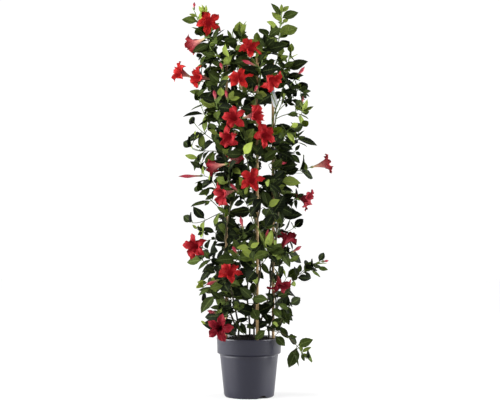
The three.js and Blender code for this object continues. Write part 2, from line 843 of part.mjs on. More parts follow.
BLOOMS.forEach((bloom, i) => {
  const name = `bloom_${String(i + 1).padStart(2, "0")}`;
  group.add(meshOf(name, take(name, bloomSolid(bloom, i)), FINISH.bloom));
});
BUDS.forEach((bud, i) => {
  const name = `bud_${String(i + 1).padStart(2, "0")}`;
  group.add(meshOf(name, take(name, budSolid(bud)), FINISH.bud));
});

const parts = {}; // the solids that are fused into each vine
for (const [name, line] of Object.entries(mainLines)) {
  parts[name] = [take(name, stemSolid(line, STEM.footRadius, STEM.topRadius, STEM.sides))];
}
for (const { stem, line } of shoots) {
  parts[stem].push(take(stem, stemSolid(line, SHOOT.footRadius, SHOOT.tipRadius, SHOOT.sides)));
}

// Straight lines from the open blooms to the front, which leaves keep free.
const sights = BLOOMS.filter((bloom) => Math.abs(bloom.turn) < 100).map((bloom) => ({
  at: vector(bloom.at),
  radius: BLOOM.radius * bloom.share * 0.8,
}));

function inSight(point) {
  return sights.some(({ at, radius }) => {
    const [dx, dz] = [point.x - at.x, point.z - at.z];
    return point.y < at.y + 5 && dx * dx + dz * dz < radius * radius;
  });
}

// Whether a point is seen, from the front, in one of the gaps through the plant.
function inGap(point) {
  const share = VIEWER.distance / (VIEWER.distance + point.y);
  const x = VIEWER.x + (point.x - VIEWER.x) * share;
  const z = VIEWER.z + (point.z - VIEWER.z) * share;
  return OPEN_SPACES.some(([left, right, foot, top]) => x > left && x < right && z > foot && z < top);
}

// Whether a leaf crosses no other piece, nor a leaf of its own vine.
function hasRoom(leaf, name) {
  const tip = leaf.root.clone().addScaledVector(leaf.direction, leaf.length);
  const middle = leaf.root.clone().lerp(tip, 0.55);
  if (inSight(middle) || inSight(tip)) return false;
  const across = new THREE.Vector3().crossVectors(leaf.normal, leaf.direction);
  const edges = [-0.4, 0.4].map((v) => middle.clone().addScaledVector(across, v * leaf.width));
  if ([tip, middle, ...edges].some(inGap)) return false;
  const grown = leafSolid(leaf, CLEAR);
  const box = boxOf(grown);
  const free = placed.every((other) => {
    if (!other.box.intersectsBox(box)) return true;
    const common = grown.intersect(other.solid);
    const volume = common.volume();
    common.delete();
    return volume <= (other.name === name ? ROOT_VOLUME : 0);
  });
  grown.delete();
  return free;
}

// Turns and sizes that a leaf tries, in order, until it has room.
const TRIES = [];
for (const size of [1, 0.86, 0.74]) {
  for (const turn of [0, 28, -28, 56, -56, 84, -84]) TRIES.push({ size, turn });
}

// A leaf that leaves its stem on one side; it is left out where no try has room.
function addLeaf(name, root, tangent, sideways, young) {
  const length = (LEAF.length + spread(LEAF.lengthSpread)) * (young ? 0.8 : 1);
  const lift = spread(0.35) + (young ? 0.5 : -0.05);
  const sag = 0.06 + random() * 0.16;
  const fold = 0.08 + random() * 0.2;
  const wave = spread(1.4);
  const outward = new THREE.Vector3(root.x, root.y - 30, 0);
  if (outward.lengthSq() < 400) outward.copy(AHEAD);
  outward.normalize();
  const frontness = 0.45 * THREE.MathUtils.clamp((60 - root.y) / 60, 0, 1);
  for (const { size, turn } of TRIES) {
    const direction = sideways
      .clone()
      .applyAxisAngle(tangent, radians(turn))
      .addScaledVector(tangent, 0.3)
      .addScaledVector(outward, 0.3)
      .addScaledVector(UP, lift)
      .normalize();
    const normal = outward.clone().multiplyScalar(0.6);
    normal.addScaledVector(AHEAD, frontness).addScaledVector(UP, 0.45);
    normal.addScaledVector(direction, -normal.dot(direction));
    if (normal.lengthSq() < 0.02) normal.crossVectors(direction, tangent);
    normal.normalize();
    const leaf = {
      root,
      direction,
      normal,
      length: length * size,
      width: length * size * LEAF.widthShare,
      sag: length * size * sag,
      fold,
      wave,
    };
    if (!hasRoom(leaf, name)) continue;
    const solid = leafSolid(leaf);
    placed.push({ name, solid, box: boxOf(solid), leaf });
    parts[name].push(solid);
    return true;
  }
  return false;
}

// A pair of leaves, one each side of a stem.
function addPair(name, line, share, quarter, young) {
  const { point: root, tangent } = alongLine(line, share);
  const { side, top } = axesOf(tangent);
  const angle = quarter * (Math.PI / 2) + spread(0.5);
  const sideways = side.clone().multiplyScalar(Math.cos(angle)).addScaledVector(top, Math.sin(angle));
  addLeaf(name, root, tangent, sideways, young);
  addLeaf(name, root, tangent, sideways.clone().negate(), young);
}

for (const { stem, line, shares } of shoots) {
  shares.forEach((share, k) => addPair(stem, line, share, k % 2, k === 0 && share > PAIRS.bloomShare));
}
for (const [name, line] of Object.entries(mainLines)) {
  const top = line.length * PAIRS.tipShare - PAIRS.topPairs * PAIRS.topStep;
  for (let k = 1; k <= PAIRS.topPairs; k += 1) {
    addPair(name, line, (top + k * PAIRS.topStep) / line.length, k % 2, k === PAIRS.topPairs);
  }
  for (let along = PAIRS.stemFirst; along < top; along += PAIRS.stemStep) {
    addPair(name, line, along / line.length, 0, false);
  }
}

for (const [name, solids] of Object.entries(parts)) {
  group.add(meshOf(name, largest(Manifold.union(solids)), FINISH.green));
}

export default group;
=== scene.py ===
"""Looks of a potted mandevilla: pot, soil, canes, label, six leafy vines, blooms and buds.

Everything is in metres, +Z up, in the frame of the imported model, and rides on its one body.
"""

import logging
import math
from collections.abc import Callable, Iterable, Sequence
from dataclasses import dataclass, field
from enum import Enum
from functools import cache
from itertools import pairwise

import bmesh
import bpy
import numpy as np
from bpy.types import Material, Object
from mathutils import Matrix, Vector, noise

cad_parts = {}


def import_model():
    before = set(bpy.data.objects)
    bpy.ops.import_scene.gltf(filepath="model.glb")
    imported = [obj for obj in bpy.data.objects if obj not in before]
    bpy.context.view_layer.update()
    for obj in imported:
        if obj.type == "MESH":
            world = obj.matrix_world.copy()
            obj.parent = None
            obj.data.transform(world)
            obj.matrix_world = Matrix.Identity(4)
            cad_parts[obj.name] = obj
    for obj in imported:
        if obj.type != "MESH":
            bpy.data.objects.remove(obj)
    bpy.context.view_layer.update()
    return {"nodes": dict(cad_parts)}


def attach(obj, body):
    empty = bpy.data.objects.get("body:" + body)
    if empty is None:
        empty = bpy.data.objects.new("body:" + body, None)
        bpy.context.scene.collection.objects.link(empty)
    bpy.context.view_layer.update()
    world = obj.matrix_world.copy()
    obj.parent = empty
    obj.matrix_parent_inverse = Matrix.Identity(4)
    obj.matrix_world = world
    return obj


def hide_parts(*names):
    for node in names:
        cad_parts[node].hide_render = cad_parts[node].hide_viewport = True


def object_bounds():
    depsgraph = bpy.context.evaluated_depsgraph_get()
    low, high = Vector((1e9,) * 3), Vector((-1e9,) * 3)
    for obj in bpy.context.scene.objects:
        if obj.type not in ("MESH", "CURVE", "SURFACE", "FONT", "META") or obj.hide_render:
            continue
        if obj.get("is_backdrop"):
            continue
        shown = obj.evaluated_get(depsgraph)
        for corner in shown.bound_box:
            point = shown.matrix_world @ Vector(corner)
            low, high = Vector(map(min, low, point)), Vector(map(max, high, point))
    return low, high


log = logging.getLogger("mandevilla")

MM = 0.001
BODY = "root"
SEED = 20417
UP = np.array([0.0, 0.0, 1.0])
AHEAD = np.array([0.0, -1.0, 0.0])

Colour = tuple[float, float, float]
Pair = tuple[float, float]
Triple = tuple[float, float, float]


class Slot(Enum):
    """The record's material slots."""

    POT = "pot"
    SOIL = "soil"
    CANE = "cane"
    LABEL = "label"
    FOLIAGE = "foliage"
    PETAL = "petal"
    BUD = "bud"


# --- Shader expressions ---


class Channel:
    """A socket of a node tree that takes part in Python expressions."""

    def __init__(self, tree: bpy.types.NodeTree, socket: bpy.types.NodeSocket) -> None:
        """Keeps the tree, in which operators add their nodes, and the socket."""
        self.tree = tree
        self.socket = socket

    def _maths(self, operation: str, *values: "Channel | float") -> "Channel":
        """Adds a Math node.

        Args:
            operation: The node's operation.
            values: What its sockets take, in order.

        Returns:
            The node's output.
        """
        node = self.tree.nodes.new("ShaderNodeMath")
        node.operation = operation
        for socket, value in zip(node.inputs, values):
            feed(self.tree, socket, value)
        return Channel(self.tree, node.outputs[0])

    def __add__(self, other: "Channel | float") -> "Channel":
        """The sum."""
        return self._maths("ADD", self, other)

    __radd__ = __add__

    def __sub__(self, other: "Channel | float") -> "Channel":
        """The difference."""
        return self._maths("SUBTRACT", self, other)

    def __rsub__(self, other: float) -> "Channel":
        """The difference, from a number."""
        return self._maths("SUBTRACT", other, self)

    def __mul__(self, other: "Channel | float") -> "Channel":
        """The product."""
        return self._maths("MULTIPLY", self, other)

    __rmul__ = __mul__

    def __pow__(self, other: float) -> "Channel":
        """The power."""
        return self._maths("POWER", self, other)

    def __abs__(self) -> "Channel":
        """The size without its sign."""
        return self._maths("ABSOLUTE", self)

    def sine(self) -> "Channel":
        """The sine of an angle in radians."""
        return self._maths("SINE", self)

    def clipped(self) -> "Channel":
        """The value, held between 0 and 1."""
        return self._maths("MINIMUM", self._maths("MAXIMUM", self, 0.0), 1.0)


def feed(tree: bpy.types.NodeTree, socket: bpy.types.NodeSocket, value: object) -> None:
    """Gives a socket its value or its link.

    Args:
        tree: The node tree that holds the socket.
        socket: An input.
        value: A Channel, a number, a vector or a colour of three numbers.
    """
    if isinstance(value, Channel):
        tree.links.new(value.socket, socket)
    elif socket.type == "RGBA":
        socket.default_value = (*value, 1.0)
    else:
        socket.default_value = value


class Finish:
    """A material in the making: one Principled shader and the nodes that feed it."""

    def __init__(self, name: str) -> None:
        """Starts a material with a bare Principled shader."""
        self.material = bpy.data.materials.new(name)
        self.material.use_nodes = True
        self.tree = self.material.node_tree
        self.shader = self.tree.nodes["Principled BSDF"]

    @classmethod
    def of_tree(cls, tree: bpy.types.NodeTree, shader: str) -> "Finish":
        """Works on a tree that is already there.

        Args:
            tree: The tree.
            shader: The name of its shader node.

        Returns:
            A finish without a material of its own.
        """
        finish = cls.__new__(cls)
        finish.tree = tree
        finish.shader = tree.nodes[shader]
        return finish

    def node(self, kind: str, settings: dict, inputs: dict, output: int = 0) -> Channel:
        """Adds any node.

        Args:
            kind: The node's type.
            settings: Its settings; "stops" are a ramp's (place, colour) pairs.
            inputs: What its sockets take, by name or number.
            output: The number of the output that is wanted.

        Returns:
            That output.
        """
        node = self.tree.nodes.new(kind)
        for key, value in settings.items():
            if key == "stops":
                elements = node.color_ramp.elements
                while len(elements) < len(value):
                    elements.new(0.5)
                for element, (place, colour) in zip(elements, value):
                    element.position = place
                    element.color = (*colour, 1.0)
            else:
                setattr(node, key, value)
        for key, value in inputs.items():
            feed(self.tree, node.inputs[key], value)
        return Channel(self.tree, node.outputs[output])

    def place(self) -> Channel:
        """The place on the piece, in metres."""
        return self.node("ShaderNodeTexCoord", {}, {}, 3)

    def attribute(self, name: str) -> Channel:
        """A number that the mesh carries."""
        return self.node("ShaderNodeAttribute", {"attribute_name": name}, {}, 2)

    def blade(self) -> tuple[Channel, Channel]:
        """How far along a blade a place is, and how far from its rib, both from 0 to 1."""
        uv = self.node("ShaderNodeUVMap", {"uv_map": "UVMap"}, {})
        along = self.node("ShaderNodeSeparateXYZ", {}, {0: uv}, 1)
        across = self.node("ShaderNodeSeparateXYZ", {}, {0: uv}, 0)
        return along, abs(across - 0.5) * 2.0

    def noise(self, scale: float, detail: float = 3.0, stretch: Triple = (1, 1, 1)) -> Channel:
        """Cloudy noise over the piece.

        Args:
            scale: Its features in a metre.
            detail: Its octaves.
            stretch: How much finer it is along each axis.

        Returns:
            A value near a half, mostly from 0.3 to 0.7.
        """
        place = self.node("ShaderNodeMapping", {}, {"Vector": self.place(), "Scale": stretch})
        return self.node("ShaderNodeTexNoise", {}, {"Vector": place, "Scale": scale, "Detail": detail})

    def cells(self, scale: float) -> Channel:
        """The distance to the nearest of many scattered points."""
        return self.node("ShaderNodeTexVoronoi", {}, {"Vector": self.place(), "Scale": scale})

    def ramp(self, value: Channel, stops: Sequence[tuple[float, Colour]]) -> Channel:
        """A colour that follows a value."""
        return self.node("ShaderNodeValToRGB", {"stops": stops}, {"Fac": value})

    def mix(self, share: Channel | float, first: object, second: object, way: str = "MIX") -> Channel:
        """Blends two colours.

        Args:
            share: How much of the second.
            first: A colour or a Channel.
            second: A colour or a Channel.
            way: The blend type.

        Returns:
            The blend.
        """
        settings = {"data_type": "RGBA", "blend_type": way}
        return self.node("ShaderNodeMix", settings, {0: share, 6: first, 7: second}, 2)

    def relief(self, height: Channel, depth: float, strength: float = 1.0) -> None:
        """Raises the surface by a height map, depth metres at most."""
        normal = self.node(
            "ShaderNodeBump", {}, {"Strength": strength, "Distance": depth, "Height": height}
        )
        self.feed("Normal", normal)

    def feed(self, name: str, value: object) -> None:
        """Gives one of the shader's sockets its value or link."""
        feed(self.tree, self.shader.inputs[name], value)

    def skin(self, colour: Channel, roughness: Channel | float, gloss: float = 0.5) -> None:
        """Gives the shader its colour, its roughness and the strength of its gloss."""
        self.feed("Base Color", colour)
        self.feed("Roughness", roughness)
        self.feed("Specular IOR Level", gloss)


# --- Finishes ---


@dataclass(frozen=True)
class Look:
    """A finish. Its material is made once, when the first piece asks for it."""

    name: str

    @cache
    def material(self) -> Material:
        """The material, in this look's own colours."""
        finish = Finish(self.name)
        self.paint(finish)
        return finish.material

    def paint(self, finish: Finish) -> None:
        """Sets the colour, the roughness and the relief."""
        raise NotImplementedError


@dataclass(frozen=True)
class MouldedPlastic(Look):
    """Anthracite plastic with a satin skin, a little dusty."""

    name: str = "pot_plastic"
    dark: Colour = (0.0015, 0.0015, 0.009)
    light: Colour = (0.003, 0.003, 0.013)

    def paint(self, finish: Finish) -> None:
        """Sets the colour, the roughness and the relief."""
        cloud = finish.noise(9.0, 4.0)
        streaks = finish.noise(30.0, 3.0, (1, 1, 0.12))
        colour = finish.mix((cloud * 0.7 + streaks * 0.5 - 0.1).clipped(), self.dark, self.light)
        finish.skin(colour, 0.31 + cloud * 0.08, 0.46)
        finish.relief(finish.noise(900.0, 2.0), 0.00012, 0.35)


@dataclass(frozen=True)
class PottingSoil(Look):
    """Damp peat: near black, with brown fibres."""

    name: str = "potting_soil"
    dark: Colour = (0.003, 0.0025, 0.002)
    brown: Colour = (0.016, 0.010, 0.006)

    def paint(self, finish: Finish) -> None:
        """Sets the colour, the roughness and the relief."""
        grain = finish.noise(260.0, 6.0)
        crumbs = finish.cells(420.0)
        fibres = finish.noise(380.0, 3.0, (0.2, 1, 1))
        share = ((grain - 0.42) * 2.2 + (fibres - 0.5) * 1.2).clipped()
        finish.skin(finish.mix(share, self.dark, self.brown), 0.78 + grain * 0.2, 0.1)
        finish.relief(grain * 0.7 + crumbs * 0.5, 0.003, 0.9)


@dataclass(frozen=True)
class Bamboo(Look):
    """Split-free tonkin cane: straw colour, fine grain, darker at its nodes."""

    name: str = "bamboo"
    straw: Colour = (0.27, 0.185, 0.085)
    amber: Colour = (0.16, 0.095, 0.038)
    scar: Colour = (0.065, 0.038, 0.018)

    def paint(self, finish: Finish) -> None:
        """Sets the colour, the roughness and the relief."""
        grain = finish.noise(1500.0, 3.0, (1, 1, 0.02))
        blotch = finish.noise(18.0, 3.0)
        near_node = finish.attribute("node")
        colour = finish.mix((grain * 0.9 + blotch * 0.8 - 0.5).clipped(), self.straw, self.amber)
        colour = finish.mix((near_node * (0.55 + blotch * 0.5)).clipped(), colour, self.scar)
        finish.skin(colour, 0.42 + grain * 0.25, 0.2)
        finish.relief(grain, 0.0003, 0.6)


@dataclass(frozen=True)
class LabelPlastic(Look):
    """White plastic strip with a plain blue-grey head."""

    name: str = "label_plastic"
    white: Colour = (0.88, 0.90, 0.92)
    head: Colour = (0.42, 0.50, 0.60)

    def paint(self, finish: Finish) -> None:
        """Sets the colour, the roughness and the relief."""
        head = finish.attribute("head")
        cloud = finish.noise(60.0)
        colour = finish.mix(head.clipped(), self.white, self.head)
        colour = finish.mix((cloud - 0.4).clipped() * 0.2, colour, (0.6, 0.62, 0.64))
        finish.skin(colour, 0.3 + cloud * 0.2)
        finish.relief(cloud, 0.0002, 0.3)


@dataclass(frozen=True)
class LeafUpper(Look):
    """The glossy upper face of a leaf, from near black in old leaves and painted shade to yellow-green in
    young leaves and painted light.
    """

    name: str = "leaf_upper"
    stops: tuple[tuple[float, Colour], ...] = (
        (0.0, (0.0008, 0.0016, 0.0006)),
        (0.25, (0.0025, 0.0045, 0.0008)),
        (0.5, (0.021, 0.034, 0.003)),
        (0.75, (0.105, 0.145, 0.010)),
        (1.0, (0.25, 0.30, 0.035)),
    )
    rib: Colour = (0.09, 0.125, 0.02)

    def paint(self, finish: Finish) -> None:
        """Sets the colour, the roughness and the relief."""
        along, side = finish.blade()
        # Painted light and shade: low values paint a leaf dark as if in shade and high ones paint it lit,
        # on top of its age.
        youth = finish.attribute("youth")
        cloud = finish.noise(55.0)
        midrib = (1.0 - side * (5.0 + along * 8.0)).clipped()
        veins = abs(((along - side * 0.16) * 28.0).sine()) ** 14.0
        veins = veins * (1.0 - side).clipped()
        colour = finish.ramp((youth + (cloud - 0.5) * 0.22).clipped(), self.stops)
        colour = finish.mix(midrib * (youth * 0.4 + 0.08) + veins * 0.05, colour, self.rib)
        finish.skin(colour, 0.38 + cloud * 0.14 - veins * 0.05, 0.035)
        finish.relief(1.0 - midrib * 0.8 - veins * 0.45, 0.0012, 0.55)


@dataclass(frozen=True)
class LeafUnder(Look):
    """The paler, duller under face of a leaf, with a raised rib."""

    name: str = "leaf_under"
    stops: tuple[tuple[float, Colour], ...] = (
        (0.0, (0.003, 0.005, 0.002)),
        (0.5, (0.034, 0.05, 0.009)),
        (1.0, (0.20, 0.25, 0.045)),
    )
    rib: Colour = (0.15, 0.20, 0.06)

    def paint(self, finish: Finish) -> None:
        """Sets the colour, the roughness and the relief."""
        along, side = finish.blade()
        cloud = finish.noise(70.0)
        midrib = (1.0 - side * (4.0 + along * 6.0)).clipped()
        veins = abs(((along - side * 0.16) * 28.0).sine()) ** 10.0 * (1.0 - side).clipped()
        # The same value paints the under face in shade or lit, on top of its age.
        youth = finish.attribute("youth")
        colour = finish.ramp((youth + (cloud - 0.5) * 0.2).clipped(), self.stops)
        colour = finish.mix(midrib * (youth * 0.5 + 0.2) + veins * 0.08, colour, self.rib)
        finish.skin(colour, 0.6 + cloud * 0.15, 0.04)
        finish.relief(midrib + veins * 0.5, 0.0015, 0.6)


@dataclass(frozen=True)
class StemSkin(Look):
    """Bark of a stem: brown where it is old, green where it is young."""

    name: str = "stem_skin"
    stops: tuple[tuple[float, Colour], ...] = (
        (0.0, (0.018, 0.014, 0.009)),
        (0.35, (0.042, 0.036, 0.016)),
        (0.65, (0.055, 0.085, 0.020)),
        (1.0, (0.17, 0.24, 0.06)),
    )

    def paint(self, finish: Finish) -> None:
        """Sets the colour, the roughness and the relief."""
        grain = finish.noise(700.0, 3.0, (1, 1, 0.15))
        spots = finish.cells(500.0)
        youth = finish.attribute("youth")
        colour = finish.ramp((youth + (grain - 0.5) * 0.35).clipped(), self.stops)
        finish.skin(colour, 0.5 + grain * 0.25, 0.12)
        finish.relief(grain * 0.7 + spots * 0.4, 0.0005, 0.6)


@dataclass(frozen=True)
class PetalSkin(Look):
    """One side of a bloom, coloured from the foot of its tube to the edge of its lobes.

    The throat glows with painted light: emission that stands in for the light coming through its thin
    wall.
    """

    name: str
    stops: tuple[tuple[float, Colour], ...]
    painted_glow: tuple[tuple[float, Colour], ...]
    roughness: float = 0.5

    def paint(self, finish: Finish) -> None:
        """Sets the colour, the roughness and the relief."""
        reach = finish.attribute("reach")
        turn = finish.attribute("turn")
        cloud = finish.noise(90.0)
        # Painted shade: the veins darken radial lines toward the throat, partly vein colour and partly the
        # shade in the creases.
        veins = abs((turn * 40.0).sine()) ** 6.0 * (reach * 1.4 - 0.3).clipped()
        colour = finish.ramp((reach + (cloud - 0.5) * 0.07).clipped(), self.stops)
        # Darkens the whole bloom, partly for age and partly as painted shade; it also dims the painted
        # glow.
        shade = finish.attribute("shade")
        colour = finish.mix((veins * 0.22 + shade).clipped(), colour, (0.11, 0.004, 0.010))
        # Painted light: the throat glows by emission, less in darker blooms.
        painted_glow = finish.mix((shade * 1.2).clipped(), finish.ramp(reach, self.painted_glow), (0.0, 0.0, 0.0))
        finish.feed("Emission Color", painted_glow)
        finish.feed("Emission Strength", 1.0)
        finish.skin(colour, self.roughness + cloud * 0.15, 0.06)
        finish.relief(veins * 0.6 + cloud * 0.6, 0.0006, 0.5)


@dataclass(frozen=True)
class BudSkin(Look):
    """A closed flower: green at its foot, pink along its side, deep red at its tip."""

    name: str = "bud_skin"
    stops: tuple[tuple[float, Colour], ...] = (
        (0.0, (0.12, 0.16, 0.045)),
        (0.18, (0.26, 0.15, 0.09)),
        (0.42, (0.35, 0.06, 0.075)),
        (0.8, (0.24, 0.014, 0.03)),
        (1.0, (0.09, 0.006, 0.012)),
    )

    def paint(self, finish: Finish) -> None:
        """Sets the colour, the roughness and the relief."""
        reach = finish.attribute("reach")
        turn = finish.attribute("turn")
        cloud = finish.noise(120.0)
        folds = abs(((turn + reach * 0.35) * math.pi * 5.0).sine())
        colour = finish.ramp((reach + (cloud - 0.5) * 0.1).clipped(), self.stops)
        shade = finish.attribute("shade")
        # Painted shade: the grooves between the folds are darkened.
        colour = finish.mix((shade + (1.0 - folds) * 0.25).clipped(), colour, (0.10, 0.004, 0.01))
        finish.skin(colour, 0.42 + cloud * 0.15, 0.15)
        finish.relief(folds, 0.0009, 0.8)


PETAL_FACE = PetalSkin(
    "petal_face",
    (
        # Darker round the mouth of the tube than on the lobes: painted shade of the throat.
        (0.0, (0.14, 0.03, 0.010)),
        (0.3, (0.10, 0.003, 0.004)),
        (0.46, (0.15, 0.004, 0.004)),
        (0.64, (0.23, 0.006, 0.005)),
        (1.0, (0.27, 0.010, 0.008)),
    ),
    # Painted glow: emission in the throat, standing in for light through its thin wall.
    (
        (0.0, (0.10, 0.014, 0.006)),
        (0.25, (0.14, 0.005, 0.007)),
        (0.42, (0.13, 0.003, 0.005)),
        (0.62, (0.02, 0.0, 0.001)),
        (0.8, (0.0, 0.0, 0.0)),
    ),
)
PETAL_BACK = PetalSkin(
    "petal_back",
    (
        (0.0, (0.28, 0.33, 0.10)),
        (0.14, (0.46, 0.34, 0.20)),
        (0.3, (0.40, 0.15, 0.13)),
        (0.48, (0.35, 0.075, 0.08)),
        (0.7, (0.27, 0.025, 0.030)),
        (1.0, (0.21, 0.010, 0.012)),
    ),
    ((0.0, (0.0, 0.0, 0.0)), (1.0, (0.02, 0.0, 0.001))),
)


# --- Bench work ---


def deselect() -> None:
    """Leaves nothing selected."""
    bpy.ops.object.select_all(action="DESELECT")


def pick(*objs: Object) -> None:
    """Selects these objects alone; the first is the active one."""
    deselect()
    for obj in objs:
        obj.select_set(True)
    bpy.context.view_layer.objects.active = objs[0]


def settle(obj: Object) -> None:
    """Puts an object's place, turn and size into its mesh."""
    pick(obj)
    bpy.ops.object.transform_apply(location=True, rotation=True, scale=True)


def apply(obj: Object, kind: str, **settings: object) -> None:
    """Adds a modifier and applies it.

    Args:
        obj: The object.
        kind: The modifier's type.
        settings: Its settings.
    """
    modifier = obj.modifiers.new(kind.lower(), kind)
    for key, value in settings.items():
        setattr(modifier, key, value)
    pick(obj)
    bpy.ops.object.modifier_apply(modifier=modifier.name)


def smooth(obj: Object, degrees: float = 35.0) -> None:
    """Shades smooth, except across sharper edges."""
    pick(obj)
    bpy.ops.object.shade_smooth_by_angle(angle=math.radians(degrees))


def join(*objs: Object) -> Object:
    """Makes one object of several, which the first one becomes."""
    pick(*objs)
    if len(objs) > 1:
        bpy.ops.object.join()
    return objs[0]


def face_out(obj: Object, weld: float = 1e-6) -> None:
    """Merges doubles, closes open rims and turns all faces outwards."""
    pick(obj)
    bpy.ops.object.mode_set(mode="EDIT")
    bpy.ops.mesh.select_all(action="SELECT")
    bpy.ops.mesh.remove_doubles(threshold=weld)
    bpy.ops.mesh.fill_holes(sides=0)
    bpy.ops.mesh.normals_make_consistent(inside=False)
    bpy.ops.mesh.select_all(action="DESELECT")
    bpy.ops.object.mode_set(mode="OBJECT")


def turned_form(name: str, profile: Sequence[Pair], sides: int, centre: Pair = (0.0, 0.0)) -> Object:
    """Draws a ring up through a profile by extruding and resizing it.

    Args:
        name: The object's name.
        profile: Pairs of radius and height, in metres.
        sides: How many sides the ring has.
        centre: Where the axis stands.

    Returns:
        A closed form at the scene's origin.
    """
    x, y = centre
    radius, height = profile[0]
    deselect()
    bpy.ops.mesh.primitive_circle_add(vertices=sides, radius=radius, location=(x, y, height))
    obj = bpy.context.active_object
    obj.name = name
    bpy.ops.object.mode_set(mode="EDIT")
    for (before, low), (after, high) in pairwise(profile):
        bpy.ops.mesh.extrude_edges_move(TRANSFORM_OT_translate={"value": (0, 0, high - low)})
        share = after / before
        bpy.ops.transform.resize(value=(share, share, 1), center_override=(x, y, high))
    bpy.ops.object.mode_set(mode="OBJECT")
    settle(obj)
    face_out(obj)
    return obj


def metres(profile: Iterable[Pair]) -> list[Pair]:
    """A profile of millimetres in metres."""
    return [(radius * MM, height * MM) for radius, height in profile]


def points_of(obj: Object) -> np.ndarray:
    """The places of a mesh's vertices, one in a row."""
    flat = np.empty(len(obj.data.vertices) * 3)
    obj.data.vertices.foreach_get("co", flat)
    return flat.reshape(-1, 3)


def move_points(obj: Object, points: np.ndarray) -> None:
    """Gives a mesh's vertices new places."""
    obj.data.vertices.foreach_set("co", points.ravel())
    obj.data.update()


def note(obj: Object, name: str, values: np.ndarray | float) -> None:
    """Writes a number for each vertex, or one for all.

    Args:
        obj: A mesh object.
        name: The attribute's name.
        values: The numbers.
    """
    layer = obj.data.attributes.get(name) or obj.data.attributes.new(name, "FLOAT", "POINT")
    count = len(obj.data.vertices)
    layer.data.foreach_set("value", np.broadcast_to(values, count).astype(np.float32))


def copy_of(blank: Object, name: str) -> Object:
    """A copy of an object with its own mesh."""
    obj = blank.copy()
    obj.data = blank.data.copy()
    obj.name = name
    bpy.context.scene.collection.objects.link(obj)
    return obj


def dress(obj: Object, *materials: Material) -> None:
    """Gives an object its materials, in the order of its slots."""
    obj.data.materials.clear()
    for material in materials:
        obj.data.materials.append(material)


def hand_over(obj: Object, slot: Slot, *nodes: str) -> None:
    """Lets a finished piece ride on the body and stand for its CAD nodes.

    Args:
        obj: The piece, at the scene's origin.
        slot: The record's slot for the piece's finish; not used.
        nodes: The CAD nodes that it replaces.
    """
    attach(obj, BODY)
    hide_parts(*nodes)
    log.info("%s: %d faces, for %s", obj.name, len(obj.data.polygons), ", ".join(nodes))


# --- Pot, soil, canes and label ---


@dataclass
class Pot:
    """A moulded nursery pot with a collar, and drain arches round its foot. Millimetres."""

    height: float = 189.0
    rim_radius: float = 105.0
    collar_height: float = 49.0
    collar_foot_radius: float = 102.6
    ledge: float = 4.0
    body_top_radius: float = 94.3
    body_foot_radius: float = 81.0
    wall: float = 2.3
    floor: float = 3.0
    sides: int = 112
    arches: int = 3
    arch_radius: float = 19.6
    arch_axis: float = -9.0
    arch_shift: float = 0.783

    def profile(self) -> list[Pair]:
        """The half section, up the outside and down the inside, in metres."""
        collar_foot = self.height - self.collar_height
        body_top = collar_foot - self.ledge
        lean = (self.body_top_radius - self.body_foot_radius) / (body_top - 6.0)
        outside = [
            (1.0, 2.2), (60.0, 2.2), (66.0, 1.8), (68.0, 0.0), (75.5, 0.0), (77.6, 0.6), (79.2, 1.9),
            (80.4, 3.9), (self.body_foot_radius, 6.4), (self.body_foot_radius + lean * 22.0, 28.0),
            (self.body_foot_radius + lean * 70.0, 76.0), (self.body_top_radius - 1.0, body_top - 9.0),
            (self.body_top_radius - 0.7, body_top - 6.6), (self.body_top_radius - 0.1, body_top - 6.0),
            (self.body_top_radius, body_top - 1.2), (self.body_top_radius + 1.0, body_top),
            (self.collar_foot_radius - 1.4, collar_foot - 0.4),
            (self.collar_foot_radius - 0.3, collar_foot + 0.2),
            (self.collar_foot_radius, collar_foot + 1.4), (self.rim_radius - 1.1, self.height - 5.6),
            (self.rim_radius - 0.9, self.height - 5.0), (self.rim_radius - 0.2, self.height - 4.4),
            (self.rim_radius, self.height - 3.6), (self.rim_radius, self.height - 1.2),
            (self.rim_radius - 0.4, self.height - 0.3), (self.rim_radius - 1.2, self.height),
        ]
        inside = [
            (self.rim_radius - 2.4, self.height), (self.rim_radius - 3.0, self.height - 0.6),
            (self.rim_radius - 3.2, self.height - 2.0),
            (self.collar_foot_radius - self.wall, collar_foot + self.wall),
            (self.body_top_radius - self.wall, body_top + self.wall),
            (self.body_foot_radius - self.wall, 8.3), (75.0, self.floor), (1.0, self.floor),
        ]
        return metres(outside + inside)

    def cut_arches(self, pot: Object) -> None:
        """Cuts the drain arches out of the pot's foot."""
        cutters = []
        for k in range(self.arches):
            turn = (k + self.arch_shift) / self.arches * math.tau
            reach = self.body_foot_radius * MM
            deselect()
            bpy.ops.mesh.primitive_cylinder_add(
                vertices=40, radius=self.arch_radius * MM, depth=26 * MM,
                location=(-math.sin(turn) * reach, math.cos(turn) * reach, self.arch_axis * MM),
                rotation=(math.pi / 2, 0, turn),
            )
            settle(bpy.context.active_object)
            cutters.append(bpy.context.active_object)
        cutter = join(*cutters)
        apply(pot, "BOOLEAN", operation="DIFFERENCE", object=cutter, solver="EXACT")
        bpy.data.objects.remove(cutter)

    def build(self) -> None:
        """Makes the pot."""
        pot = turned_form("nursery_pot", self.profile(), self.sides)
        self.cut_arches(pot)
        smooth(pot, 28.0)
        dress(pot, MouldedPlastic().material())
        hand_over(pot, Slot.POT, "pot")


